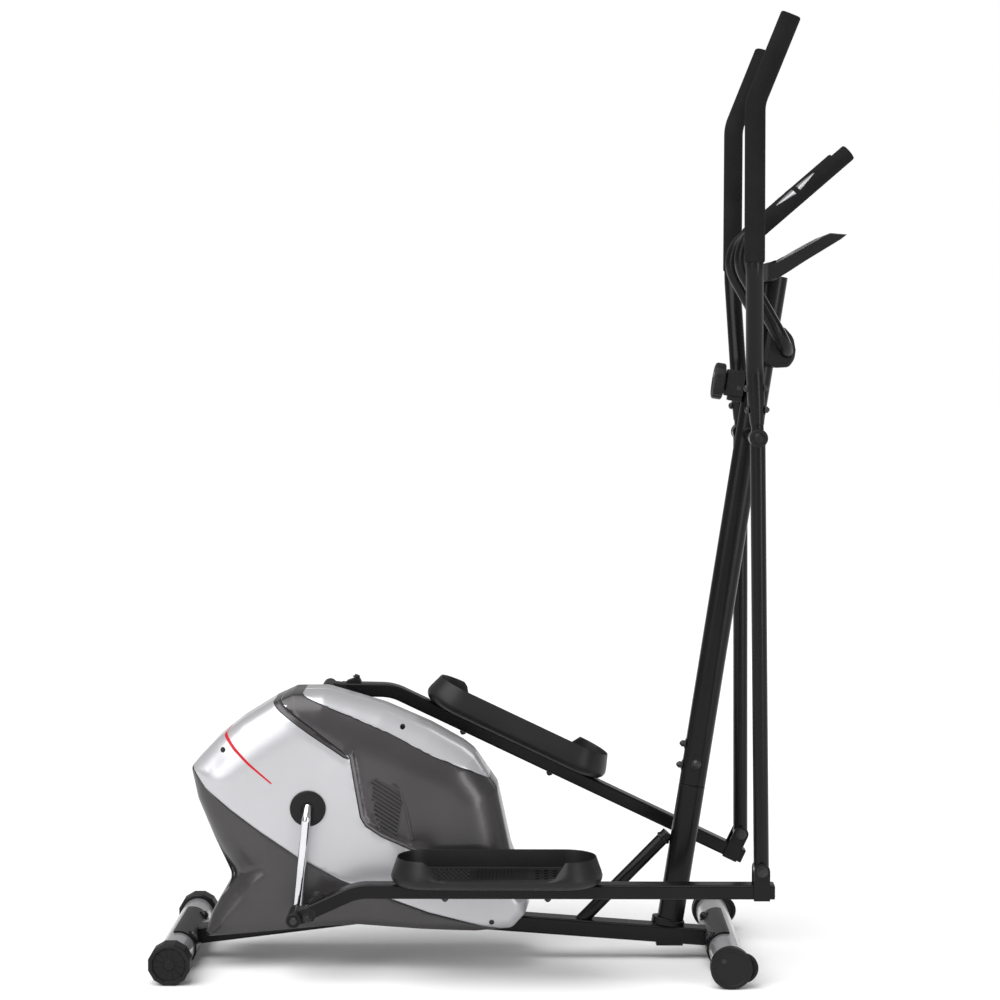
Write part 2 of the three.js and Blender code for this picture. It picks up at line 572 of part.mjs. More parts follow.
const wheelBand = [-FLYWHEEL.half, FLYWHEEL.half];
const dish = [[-14, -8], [8, 14]].map((band) => ringY(FLYWHEEL.x, FLYWHEEL.z, band, 84, 22, 20));
const wheelSolid = discY(FLYWHEEL.x, FLYWHEEL.z, wheelBand, FLYWHEEL.radius, 36);
const shaftHole = discY(FLYWHEEL.x, FLYWHEEL.z, [-60, 60], AXLE_RADIUS + GAP);
node('flywheel', cut(wheelSolid, shaftHole, ...dish), CAST_IRON);
const shaft = discY(FLYWHEEL.x, FLYWHEEL.z, [-32, 42], AXLE_RADIUS);
const smallPulley = discY(FLYWHEEL.x, FLYWHEEL.z, pulleyBand, FLYWHEEL.pulley, 24);
node('flywheel_shaft', join(shaft, smallPulley), ZINC);

// Two side plates stand on the beam's flanks, and a bar from one of them carries the brake.
const BRAKE = { x: -62, z: 322, inner: 115, outer: 123, from: 62, to: 132 };
const plateOutline = [[-195, 62], [-85, 54], [-85, 88], [-118, 226], [-132, 236], [-148, 236], [-162, 226], [-195, 92]];
const flankBands = SIDES.map(([, side]) => spanY(side, BEAM.width / 2 + GAP, BEAM.width / 2 + 4.3));
const flanks = flankBands.map((band) => plateY(plateOutline, band));
const tie = block([-182, -166], [-24, 24], [beamTop(-174) + GAP + 1, beamTop(-174) + 7]);
const brakeBar = plateY([[-150, 226], [-128, 206], [-50, 314], [-52, 330], [-70, 334]], flankBands[0]);
const barHole = discY(BRAKE.x, BRAKE.z, [-40, 40], 4 + GAP, 12);
node('flywheel_bracket', cut(join(flanks[0], flanks[1], tie, brakeBar), shaftHole, barHole), BLACK_PAINT);

const rail = curvedPlate(FLYWHEEL.x, FLYWHEEL.z, BRAKE.inner, BRAKE.outer, BRAKE.from, BRAKE.to, 8, [-16, 16]);
const lug = join(discY(BRAKE.x, BRAKE.z, [-16, 16], 9, 16), rod(
  new THREE.Vector3(BRAKE.x, 0, BRAKE.z), new THREE.Vector3(-84, 0, 323), 6, 10));
const brakePin = discY(BRAKE.x, BRAKE.z, [-27, -15], 4, 12);
node('brake_arm', join(rail, lug, brakePin), ZINC);

const IDLER = { x: -242.4, z: 159.6, radius: 16 };
const idlerPlate = plateY([[-262, 66], [-222, 64], [-230, 168], [-241, 174], [-252, 168]], flankBands[1]);
const idlerPin = discY(IDLER.x, IDLER.z, [24, PULLEY.y1 + 1], 5, 12);
node('idler_arm', join(idlerPlate, idlerPin), ZINC);
node('idler_pulley', ringY(IDLER.x, IDLER.z, pulleyBand, IDLER.radius - 0.6, 5 + GAP, 20), BLACK_PLASTIC);

// ---------------------------------------------------------------- casing shells
const casingOutline = [
  [-555, 54], [-542, 96], [-506, 159], [-537, 225], [-567, 298], [-579, 353], [-535, 399], [-492, 433],
  [-433, 469], [-398, 485], [-342, 486], [-292, 472], [-236, 456], [-155, 421], [-96, 388], [-77, 373],
  [-36, 313], [-12, 202], [22, 116], [13, 92], [-10, 70], [-74, 66], [-172, 70], [-283, 78], [-342, 75],
  [-437, 65],
];

function casingBody(side, inset, from, to) {
  const shape = new THREE.Shape(casingOutline.map(([x, z]) => new THREE.Vector2(x, z)));
  const settings = { depth: 2 * (to - CASING.bevel), bevelEnabled: true, bevelSegments: 1 };
  Object.assign(settings, { bevelSize: CASING.bevel, bevelThickness: CASING.bevel });
  settings.bevelOffset = -CASING.bevel - inset;
  const whole = toSolid(new THREE.ExtrudeGeometry(shape, settings).rotateX(Math.PI / 2)
    .translate(0, to - CASING.bevel, 0));
  return cut(whole, block([-700, 100], spanY(-side, -from, 200), [0, 600]));
}

const ventOutline = [
  [-262, 344], [-222, 332], [-206, 321], [-194, 280], [-184, 229], [-192, 221], [-218, 262], [-238, 300],
];
const ventRidge = [
  [-222, 331], [-206.5, 320], [-194.5, 280], [-185, 230], [-191, 228], [-202, 279], [-213, 314],
];

// Moves every edge of a clockwise outline inward by the same amount.
function inset(corners, amount) {
  return corners.map(([x, z], i) => {
    const [beforeX, beforeZ] = corners.at(i - 1);
    const [afterX, afterZ] = corners[(i + 1) % corners.length];
    const into = new THREE.Vector2(z - beforeZ, beforeX - x).normalize();
    const out = new THREE.Vector2(afterZ - z, x - afterX).normalize();
    const inward = into.clone().add(out).normalize();
    const reach = amount / inward.dot(into);
    return [x + inward.x * reach, z + inward.y * reach];
  });
}

const slotPath = longer(beamPath, 20);
const beamSlot = sweep(rectangle(BEAM.width + 10, BEAM.height + 4), slotPath, true);
for (const [hand, side] of SIDES) {
  const outside = casingBody(side, 0, GAP / 2, CASING.half);
  const inside = casingBody(side, CASING.wall, -1, CASING.half - CASING.wall);
  const axleOpening = discY(CRANK.x, CRANK.z, spanY(side, 80, 120), 14, 20);
  const under = block([-470, -40], spanY(side, -5, 78), [40, 100]);
  const ventHole = plateY(ventOutline, spanY(side, CASING.half - 20, CASING.half + 20));
  const plate = plateY(inset(ventOutline, GAP), spanY(side, CASING.half - 4, CASING.half - 1));
  const ridge = plateY(inset(ventRidge, GAP), spanY(side, CASING.half - 2, CASING.half + 1));
  node(`vent_panel_${hand}`, join(plate, ridge), BLACK_PLASTIC);
  node(`casing_${hand}`, cut(outside, inside, ventHole, axleOpening, beamSlot, under), SILVER_PLASTIC);
}

// ---------------------------------------------------------------- static handlebar
const barPoint = (x, y, z) => new THREE.Vector3(x, y, z);
const barTip = (side) => barPoint(568, side * BAR.half, 1429);
const barRoute = roundedPath([
  barTip(-1),
  barPoint(371, -BAR.half, 1259),
  barPoint(BAR.x - 3, -BAR.half, BAR.z - 2),
  barPoint(BAR.x - 3, BAR.half, BAR.z - 2),
  barPoint(371, BAR.half, 1259),
  barTip(1),
], 58, 3);
const barBore = sweep(circle(BAR.radius - WALL, 12), longer(barRoute, 1));
node('static_handlebar', cut(sweep(circle(BAR.radius, 12), barRoute), barBore, postShell(0.4)), BLACK_PAINT);

function postShell(clearance) {
  const low = new THREE.Vector3(0, 0, onPost(1030));
  const high = new THREE.Vector3(0, 0, onPost(1200));
  return leaned(sweep(oval(POST.width + 2 * clearance, POST.depth + 2 * clearance), [low, high], true));
}

for (const [hand, side] of SIDES) {
  const tip = barTip(side);
  const corner = barPoint(371, side * BAR.half, 1259);
  const along = tip.clone().sub(corner).normalize();
  const start = tip.clone().addScaledVector(along, -205);
  const sleeve = rod(start, tip.clone().addScaledVector(along, 4), BAR.foam, 14);
  const inside = rod(start.clone().addScaledVector(along, -1), tip.clone().addScaledVector(along, GAP),
    BAR.radius + 0.7, 14);
  node(`static_grip_${hand}`, cut(sleeve, inside), FOAM);
}

const coverOutline = [[437, 1128], [470, 1136], [484, 1112], [485, 1078], [476, 1060], [446, 1058], [425, 1075]];
const coverSolid = plateY(coverOutline, [-62, 62]);
const barClear = sweep(circle(BAR.radius + 0.4, 12), barRoute);
node('handlebar_clamp_cover', cut(coverSolid, barClear, postShell(0.4), block([380, 448], [-70, 70], [1000, 1200])),
  BLACK_PLASTIC);

// ---------------------------------------------------------------- console
const CONSOLE = { half: 98, slope: Math.atan2(55, 98) };
const consoleOutline = [[429, 1243], [444, 1238], [542, 1293], [572, 1290], [494, 1243], [468, 1226.5], [429, 1209]];
const postTopClear = leaned(sweep(oval(POST.width + 1, POST.depth + 1), [
  new THREE.Vector3(0, 0, onPost(1150)), new THREE.Vector3(0, 0, onPost(POST.top) + 1)], true));
const consoleAxes = new THREE.Matrix4().makeRotationY(-CONSOLE.slope).setPosition(493, 0, 1265.5);
const onConsole = (solid) => toSolid(toGeometry(solid).applyMatrix4(consoleAxes));
const screenRecess = onConsole(block([-14, 36], [-52, 52], [-3, 5]));
function discUp(x, y, z0, z1, radius, sides) {
  return rod(new THREE.Vector3(x, y, z0), new THREE.Vector3(x, y, z1), radius, sides);
}

const buttonHole = onConsole(discUp(-34, 0, -5, 5, BUTTON.radius + 0.4, 16));
node('console_housing', cut(
  plateY(consoleOutline, [-CONSOLE.half, CONSOLE.half]),
  postTopClear,
  screenRecess,
  buttonHole,
), BLACK_PLASTIC);
node('console_display', onConsole(block([-13.6, 35.6], [-51.6, 51.6], [-2.6, 0])), GLASS);
node('console_button', onConsole(discUp(-34, 0, -2.6, BUTTON.reach, BUTTON.radius, 14)), RUBBER);

// ---------------------------------------------------------------- tension control
const TENSION = { z: 1024, knobRadius: 32.5 };
const tension = placed(postX(TENSION.z), TENSION.z, POST.lean);
const rear = -POST.depth / 2 - GAP;
const housing = block([rear - 32, rear], [-19, 19], [-24, 25]);
const shelf = block([rear - 26, rear], [-15, 15], [-31, -23]);
node('tension_housing', join(housing, shelf), BLACK_PLASTIC, tension);
const knobAxis = (x) => new THREE.Vector3(x, 0, 1);
const knobBody = rod(knobAxis(rear - 32 - GAP), knobAxis(rear - 36), 14, 18);
const knobGrip = rod(knobAxis(rear - 35), knobAxis(rear - 57), TENSION.knobRadius, 18);
node('tension_knob', join(knobBody, knobGrip), BLACK_PLASTIC, tension);

// ---------------------------------------------------------------- origin
// The origin goes to the middle of the footprint, on the floor.
trainer.updateMatrixWorld(true);
const bounds = new THREE.Box3().setFromObject(trainer, true);
trainer.position.set(-(bounds.min.x + bounds.max.x) / 2, -(bounds.min.y + bounds.max.y) / 2, -bounds.min.z);

export default trainer;
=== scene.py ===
import math

import bmesh
import bpy
from mathutils import Matrix, Vector, geometry


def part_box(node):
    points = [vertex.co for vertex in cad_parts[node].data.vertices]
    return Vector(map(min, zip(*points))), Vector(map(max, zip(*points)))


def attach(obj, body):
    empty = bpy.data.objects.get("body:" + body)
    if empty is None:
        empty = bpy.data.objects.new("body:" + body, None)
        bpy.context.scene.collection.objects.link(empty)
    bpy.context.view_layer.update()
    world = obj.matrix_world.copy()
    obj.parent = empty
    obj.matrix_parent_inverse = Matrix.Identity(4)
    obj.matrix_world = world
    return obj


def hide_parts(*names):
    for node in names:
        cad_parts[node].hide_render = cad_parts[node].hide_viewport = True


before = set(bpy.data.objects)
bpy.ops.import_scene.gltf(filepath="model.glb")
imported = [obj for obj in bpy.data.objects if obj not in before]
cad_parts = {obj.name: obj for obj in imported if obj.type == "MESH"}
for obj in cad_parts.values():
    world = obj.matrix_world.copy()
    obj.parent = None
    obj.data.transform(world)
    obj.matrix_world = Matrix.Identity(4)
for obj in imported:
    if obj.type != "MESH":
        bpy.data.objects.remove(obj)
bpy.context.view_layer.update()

# Points are written in millimetres, with the swing pivot at x = PIVOT_X;
# SHIFT carries them along x into the frame's metres.
PIVOT_X = 410.0
_low, _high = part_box("pivot_axle")
SHIFT = (_low.x + _high.x) / 2 - PIVOT_X / 1000

HANDS = (("right", -1), ("left", 1))
Y_AXIS = Vector((0, 1, 0))


def mm(x, y, z):
    return Vector((x / 1000 + SHIFT, y / 1000, z / 1000))


# ------------------------------------------------------------------ linkage at rest
PIVOT = Vector((PIVOT_X, 0, 940))
CRANK = Vector((-368.3, 0, 287.5))
CRANK_RADIUS = 178.3
CRANK_LEAN = math.radians(5.73)
SWING_LENGTH = 746
PEDAL_ARM_LENGTH = 811.4
ARM_Y = 162


def crank_pin(side):
    down = 1 if side < 0 else -1
    return CRANK - down * CRANK_RADIUS * Vector((math.sin(CRANK_LEAN), 0, math.cos(CRANK_LEAN)))


def lower_pivot(pin):
    line = PIVOT - pin
    reach = line.length
    along = (PEDAL_ARM_LENGTH ** 2 + reach ** 2 - SWING_LENGTH ** 2) / (2 * reach)
    off = math.sqrt(PEDAL_ARM_LENGTH ** 2 - along ** 2)
    forward = line.normalized()
    return pin + forward * along + Vector((forward.z, 0, -forward.x)) * off


def tilt_of(pin, pivot):
    return math.atan2(pin.z - pivot.z, pivot.x - pin.x)


RIGHT_PIN = crank_pin(-1)
RIGHT_Q = lower_pivot(RIGHT_PIN)
PIN_IN_ARM = RIGHT_PIN - RIGHT_Q


def turned(point, angle):
    """A point turned about +Y, x towards -z."""
    x, y, z = point
    c, s = math.cos(angle), math.sin(angle)
    return Vector((x * c + z * s, y, -x * s + z * c))


def placer(centre, angle):
    """Carries a point drawn about a pivot to its place in the frame."""
    def place(x, y, z):
        p = centre + turned((x, y, z), angle)
        return mm(p.x, p.y, p.z)
    return place


def swing_place(side):
    q = lower_pivot(crank_pin(side))
    return placer(PIVOT, math.atan2(PIVOT.x - q.x, PIVOT.z - q.z))


def arm_place(side):
    pin = crank_pin(side)
    q = lower_pivot(pin)
    return placer(q, tilt_of(pin, q) - tilt_of(RIGHT_PIN, RIGHT_Q))


def crank_place(side):
    return placer(CRANK, CRANK_LEAN if side < 0 else CRANK_LEAN + math.pi)


# ------------------------------------------------------------------ materials
def shader(name, color, rough, metal=0.0, coat=0.0, coat_rough=0.05, spec=0.5):
    material = bpy.data.materials.new(name)
    material.use_nodes = True
    bsdf = material.node_tree.nodes["Principled BSDF"]
    bsdf.inputs["Base Color"].default_value = (*color, 1)
    bsdf.inputs["Roughness"].default_value = rough
    bsdf.inputs["Metallic"].default_value = metal
    bsdf.inputs["Coat Weight"].default_value = coat
    bsdf.inputs["Coat Roughness"].default_value = coat_rough
    bsdf.inputs["Specular IOR Level"].default_value = spec
    return material


def detail(material, scale, color_low, color_high, rough_low, rough_high, bump, distance,
           stretch=(1, 1, 1), fine=None):
    """Noise over the surface: it varies the colour and roughness a little and raises a fine grain."""
    tree = material.node_tree
    nodes, links = tree.nodes, tree.links
    bsdf = nodes["Principled BSDF"]
    coords = nodes.new("ShaderNodeTexCoord")
    mapping = nodes.new("ShaderNodeMapping")
    mapping.inputs["Scale"].default_value = stretch
    links.new(coords.outputs["Object"], mapping.inputs["Vector"])
    cloud = nodes.new("ShaderNodeTexNoise")
    cloud.inputs["Scale"].default_value = scale
    cloud.inputs["Detail"].default_value = 6
    links.new(mapping.outputs["Vector"], cloud.inputs["Vector"])
    ramp = nodes.new("ShaderNodeValToRGB")
    ramp.color_ramp.elements[0].position = 0.3
    ramp.color_ramp.elements[0].color = (*color_low, 1)
    ramp.color_ramp.elements[1].position = 0.7
    ramp.color_ramp.elements[1].color = (*color_high, 1)
    links.new(cloud.outputs["Fac"], ramp.inputs["Fac"])
    links.new(ramp.outputs["Color"], bsdf.inputs["Base Color"])
    spread = nodes.new("ShaderNodeMapRange")
    spread.inputs["To Min"].default_value = rough_low
    spread.inputs["To Max"].default_value = rough_high
    links.new(cloud.outputs["Fac"], spread.inputs["Value"])
    links.new(spread.outputs["Result"], bsdf.inputs["Roughness"])
    grain = nodes.new("ShaderNodeTexNoise")
    grain.inputs["Scale"].default_value = fine or scale * 12
    grain.inputs["Detail"].default_value = 3
    links.new(mapping.outputs["Vector"], grain.inputs["Vector"])
    lift = nodes.new("ShaderNodeBump")
    lift.inputs["Strength"].default_value = bump
    lift.inputs["Distance"].default_value = distance
    links.new(grain.outputs["Fac"], lift.inputs["Height"])
    links.new(lift.outputs["Normal"], bsdf.inputs["Normal"])
    return material


def grey(value, tint=(1, 1, 1)):
    return tuple(value * t for t in tint)


WARM = (1.03, 0.97, 1.01)
COOL = (0.985, 0.985, 1.02)
BLACK = detail(shader("black_powder_coat", grey(0.004), 0.26, spec=0.2),
               9, grey(0.0034, WARM), grey(0.0052, WARM), 0.22, 0.31, 0.10, 0.0004, fine=700)
PLASTIC = detail(shader("black_plastic", grey(0.008), 0.45, spec=0.22),
                 14, grey(0.0068, WARM), grey(0.0105, WARM), 0.40, 0.52, 0.25, 0.0004, fine=900)
PEDAL_PLASTIC = detail(shader("pedal_plastic", grey(0.009), 0.42, spec=0.28),
                       12, grey(0.0078, WARM), grey(0.0120, WARM), 0.36, 0.48, 0.2, 0.0004, fine=850)
FOAM = detail(shader("closed_cell_foam", grey(0.009), 0.9, spec=0.15),
              18, grey(0.0070, WARM), grey(0.0125, WARM), 0.80, 0.95, 0.55, 0.0006, fine=650)
CHROME = detail(shader("chrome", grey(0.75), 0.08, metal=1),
                20, grey(0.66, COOL), grey(0.80, COOL), 0.05, 0.13, 0.04, 0.0002, fine=300)
ZINC = detail(shader("zinc_plate", grey(0.4), 0.35, metal=1),
              40, grey(0.33, COOL), grey(0.50, COOL), 0.28, 0.42, 0.15, 0.0002, fine=500)
DARK_BOLT = detail(shader("black_oxide_bolt", grey(0.03), 0.35, metal=0.6),
                   40, grey(0.02), grey(0.05), 0.28, 0.42, 0.15, 0.0002, fine=500)
SILVER_TUBE = detail(shader("silver_tube_paint", grey(0.45), 0.3, metal=0.55, coat=0.4),
                     25, grey(0.40, COOL), grey(0.48, COOL), 0.24, 0.34, 0.10, 0.0002, fine=900)
SILVER = detail(shader("silver_casing_paint", grey(0.52), 0.3, metal=0.45, coat=0.2, coat_rough=0.12),
                7, grey(0.505, COOL), grey(0.55, COOL), 0.27, 0.34, 0.08, 0.0002, fine=1200)
DARK = detail(shader("graphite_casing_paint", grey(0.055), 0.3, metal=0.5, coat=0.15, coat_rough=0.12),
              7, grey(0.050, WARM), grey(0.064, WARM), 0.27, 0.35, 0.08, 0.0002, fine=1200)
# painted highlight: this lighter grey stands in for light caught along the raised bead
BEAD_HIGHLIGHT = detail(shader("bead_painted_highlight", grey(0.14), 0.3, metal=0.5),
                   9, grey(0.13, WARM), grey(0.155, WARM), 0.27, 0.35, 0.08, 0.0002, fine=1200)
RED = detail(shader("red_stripe", (0.5, 0.006, 0.02), 0.4, spec=0.25),
             20, (0.47, 0.005, 0.018), (0.55, 0.009, 0.026), 0.36, 0.44, 0.05, 0.0002, fine=900)
# seam_shadow is painted shade: near-black colour for the groove's borders, the line beside the bead, the
# screw pits and the gaps under the louvres
SEAM_SHADOW = detail(shader("seam_shadow", grey(0.006), 0.6, spec=0.1),
              14, grey(0.005), grey(0.008), 0.55, 0.7, 0.1, 0.0002, fine=900)
RUBBER = detail(shader("rubber", grey(0.008), 0.7, spec=0.2),
                16, grey(0.007), grey(0.012), 0.62, 0.78, 0.3, 0.0004, fine=700)
IRON = detail(shader("flywheel_iron", grey(0.06), 0.45, metal=0.9),
              16, grey(0.045), grey(0.08), 0.36, 0.52, 0.25, 0.0004, fine=400)
LABEL_GREY = detail(shader("grey_print", grey(0.35), 0.5),
                    20, grey(0.32), grey(0.38), 0.45, 0.55, 0.05, 0.0002, fine=900)
SCREEN = detail(shader("display_glass", (0.010, 0.014, 0.016), 0.08, coat=1, coat_rough=0.02),
                12, (0.008, 0.011, 0.013), (0.014, 0.019, 0.021), 0.06, 0.11, 0.02, 0.0001, fine=200)
LCD = detail(shader("liquid_crystal", (0.20, 0.24, 0.19), 0.35),
             30, (0.19, 0.23, 0.18), (0.22, 0.26, 0.21), 0.3, 0.4, 0.03, 0.0001, fine=900)
SENSOR = detail(shader("sensor_steel", grey(0.3), 0.3, metal=0.6),
                30, grey(0.27, COOL), grey(0.33, COOL), 0.2, 0.32, 0.08, 0.0002, fine=700)


# ------------------------------------------------------------------ closed shapes: (points, faces)
def loft(rings, closed=False):
    """A skin through rings of points. The ends get caps unless the last ring joins the first."""
    points, faces, starts = [], [], []
    for ring in rings:
        starts.append((len(points), len(ring)))
        points.extend(Vector(p) for p in ring)
    pairs = list(zip(starts, starts[1:]))
    if closed:
        pairs.append((starts[-1], starts[0]))
    for (a, na), (b, nb) in pairs:
        count = max(na, nb)
        for i in range(count):
            j = (i + 1) % count
            if na == 1:
                faces.append((a, b + j, b + i))
            elif nb == 1:
                faces.append((a + i, a + j, b))
            else:
                faces.append((a + i, a + j, b + j, b + i))
    if not closed:
        for (start, n), flip in ((starts[0], True), (starts[-1], False)):
            if n > 2:
                ring = [start + i for i in range(n)]
                faces.append(tuple(reversed(ring)) if flip else tuple(ring))
    return points, faces


def across(axis):
    axis = Vector(axis).normalized()
    side = axis.cross(Vector((0, 0, 1)))
    if side.length < 1e-3:
        side = axis.cross(Vector((1, 0, 0)))
    side.normalize()
    return axis, side, axis.cross(side)


def turning(centre, axis, profile, count=32, start=0.0, closed=False):
    """profile holds (radius, height along the axis) in millimetres; centre is in metres."""
    axis, side, up = across(axis)
    rings = []
    for radius, height in profile:
        middle = centre + axis * (height / 1000)
        if radius < 1e-6:
            rings.append([middle])
            continue
        ring = []
        for i in range(count):
            a = start + 2 * math.pi * i / count
            ring.append(middle + (side * math.cos(a) + up * math.sin(a)) * (radius / 1000))
        rings.append(ring)
    return loft(rings, closed)


def puck(centre, axis, radius, height, edge=0.8, count=32, start=0.0, steps=3):
    """A disc with rounded edges that stands on centre."""
    turn = [math.pi / 2 * i / steps for i in range(steps + 1)]
    low = [(radius - edge + edge * math.sin(a), edge - edge * math.cos(a)) for a in turn]
    high = [(radius - edge + edge * math.cos(a), height - edge + edge * math.sin(a)) for a in turn]
    return turning(centre, axis, [*low, *high], count, start)


def washer(centre, axis, radius, hole, height, edge=0.6, count=36):
    outline = [(hole, edge), (hole + edge, 0), (radius - edge, 0), (radius, edge), (radius, height - edge),
               (radius - edge, height), (hole + edge, height), (hole, height - edge)]
    return turning(centre, axis, outline, count, closed=True)


def hex_bolt(centre, axis, size, height, flange=0.0):
    parts = []
    if flange:
        parts.append(puck(centre, axis, flange, 1.4, 0.4, 24))
    start = centre + Vector(axis).normalized() * (0.0012 if flange else 0)
    profile = [(size, 0), (size, height * 0.82), (size * 0.9, height), (size * 0.45, height)]
    parts.append(turning(start, axis, profile, 6))
    return parts


def dome_nut(centre, axis, radius):
    steps = [math.pi / 2 * i / 6 for i in range(7)]
    dome = [(radius * math.cos(a), radius * 0.25 + radius * 0.75 * math.sin(a)) for a in steps]
    dome[-1] = (0, radius)
    return [turning(centre, axis, [(radius * 1.1, -0.5), (radius * 1.1, radius * 0.22), *dome], 24)]


def rounded(corners, radius, steps=8):
    """Straight runs with an arc at each corner. radius is one number or one per corner."""
    path = [Vector(corners[0])]
    for i in range(1, len(corners) - 1):
        r = radius[i - 1] if isinstance(radius, (list, tuple)) else radius
        here = Vector(corners[i])
        into = (here - Vector(corners[i - 1])).normalized()
        out = (Vector(corners[i + 1]) - here).normalized()
        turn = into.angle(out)
        if turn < 1e-3:
            path.append(here)
            continue
        centre = here + (out - into).normalized() * (r / math.cos(turn / 2))
        start = here - into * (r * math.tan(turn / 2))
        axis = into.cross(out).normalized()
        for k in range(steps + 1):
            spin = Matrix.Rotation(turn * k / steps, 3, axis)
            path.append(centre + spin @ (start - centre))
    path.append(Vector(corners[-1]))
    return path


def refined(path, step):
    """The same path with extra points on its long straight runs."""
    dense = [path[0]]
    for a, b in zip(path, path[1:]):
        count = max(1, int((b - a).length // step))
        dense.extend(a.lerp(b, k / count) for k in range(1, count + 1))
    return dense


def frames_along(path, level):
    tangents = []
    for i, here in enumerate(path):
        before = path[max(i - 1, 0)]
        after = path[min(i + 1, len(path) - 1)]
        into = (here - before).normalized() if i else (after - here).normalized()
        out = (after - here).normalized() if i < len(path) - 1 else into
        tangents.append((into + out).normalized())
    if level:
        return [(t, Vector(Y_AXIS), t.cross(Y_AXIS).normalized()) for t in tangents]
    _, normal, _ = across(tangents[0])
    result = []
    for t in tangents:
        normal = (normal - t * normal.dot(t)).normalized()
        result.append((t, normal, t.cross(normal)))
    return result


def swept(path, section, place=mm, level=False, sizes=None, ends=1.0):
    """Sweeps a section (mm) along a path (mm). sizes scales it at each point; ends rounds both rims."""
    frames = frames_along(path, level)
    half = max(math.hypot(u, v) for u, v in section)
    sizes = sizes or [1.0] * len(path)

    def ring(i, inset=0.0, scale=1.0):
        along, n, b = frames[i]
        middle = path[i] + along * inset
        return [place(*(middle + (n * u + b * v) * (sizes[i] * scale))) for u, v in section]

    rim = [(0.0, 1.0)]
    if ends:
        turn = [math.pi / 6 * k for k in range(4)]
        rim = [(ends - ends * math.cos(a), (half - ends + ends * math.sin(a)) / half) for a in turn]
    rings = [ring(0, inset, scale) for inset, scale in rim]
    rings += [ring(i) for i in range(1, len(path) - 1)]
    rings += [ring(-1, -inset, scale) for inset, scale in reversed(rim)]
    return loft(rings)


def circle(radius, count=28):
    return [(radius * math.cos(2 * math.pi * i / count), radius * math.sin(2 * math.pi * i / count))
            for i in range(count)]


def oval(width, depth, count=40, power=2.25):
    points = []
    for i in range(count):
        a = 2 * math.pi * i / count
        c, s = math.cos(a), math.sin(a)
        points.append((width / 2 * math.copysign(abs(c) ** (2 / power), c),
                       depth / 2 * math.copysign(abs(s) ** (2 / power), s)))
    return points


def round_rect(width, height, radius, steps=5):
    points = []
    for sx, sy, first in ((1, 1, 0), (-1, 1, 90), (-1, -1, 180), (1, -1, 270)):
        for k in range(steps + 1):
            a = math.radians(first + 90 * k / steps)
            points.append((sx * (width / 2 - radius) + radius * math.cos(a),
                           sy * (height / 2 - radius) + radius * math.sin(a)))
    return points


def slab(outline, low, high, lift, edge=1.0, steps=2):
    """An outline pulled from low to high, with its edges rounded. lift(a, b, h) gives the 3-D point."""
    bm = bmesh.new()
    base = [bm.verts.new(lift(a, b, low)) for a, b in outline]
    top = [bm.verts.new(lift(a, b, high)) for a, b in outline]
    bm.faces.new(base)
    bm.faces.new(list(reversed(top)))
    n = len(outline)
    for i in range(n):
        bm.faces.new((base[(i + 1) % n], base[i], top[i], top[(i + 1) % n]))
    bmesh.ops.recalc_face_normals(bm, faces=bm.faces)
    if edge:
        bm.normal_update()
        sharp = [e for e in bm.edges if e.calc_face_angle(0) > math.radians(28)]
        bmesh.ops.bevel(bm, geom=sharp, offset=edge / 1000, segments=steps, profile=0.5, affect="EDGES",
                        clamp_overlap=True)
    bm.verts.index_update()
    points = [v.co.copy() for v in bm.verts]
    faces = [tuple(v.index for v in f.verts) for f in bm.faces]
    bm.free()
    return points, faces


def flat_y(place=mm):
    return lambda x, z, y: place(x, y, z)


def side_slab(outline, side, near, far, place=mm, edge=1.0):
    """An outline seen from the side, pulled between two distances from the middle plane."""
    low, high = sorted((side * near, side * far))
    return slab(outline, low, high, flat_y(place), edge)


def flat_z(place=mm):
    return lambda x, y, z: place(x, y, z)


def arc(x, z, radius, first, last, steps):
    return [(x + radius * math.cos(math.radians(first + (last - first) * i / steps)),
             z + radius * math.sin(math.radians(first + (last - first) * i / steps)))
            for i in range(steps + 1)]


# ------------------------------------------------------------------ pieces
def mesh_object(name, bm, finishes):
    mesh = bpy.data.meshes.new(name)
    bm.to_mesh(mesh)
    bm.free()
    for finish in finishes:
        mesh.materials.append(finish)
    obj = bpy.data.objects.new(name, mesh)
    bpy.context.scene.collection.objects.link(obj)
    return obj


def piece(name, body, material, shapes, nodes=(), sharp=38, extra=()):
    """One mesh object from closed shapes. extra holds (material, shapes) for its other finishes."""
    bm = bmesh.new()
    groups = [(material, shapes), *extra]
    for index, (_, group) in enumerate(groups):
        for points, faces in group:
            verts = [bm.verts.new(p) for p in points]
            made = []
            for face in faces:
                try:
                    made.append(bm.faces.new([verts[i] for i in face]))
                except ValueError:
                    continue
            bmesh.ops.recalc_face_normals(bm, faces=made)
            for f in made:
                f.material_index = index
                f.smooth = True
    bm.normal_update()
    for e in bm.edges:
        e.smooth = e.calc_face_angle(0) < math.radians(sharp)
    obj = mesh_object(name, bm, [finish for finish, _ in groups])
    weights = obj.modifiers.new("flat_faces", "WEIGHTED_NORMAL")
    weights.keep_sharp = True
    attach(obj, body)
    if nodes:
        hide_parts(*nodes)
    return obj


# ------------------------------------------------------------------ floor frame
REAR, FRONT = (-599, 36), (365, 36)
TUBE_R, STABILISER_HALF = 29, 206
BEAM_REAR, BEAM_CROWN, BEAM_FRONT = (-580, 40.4), (-250, 82), (345, 38.9)

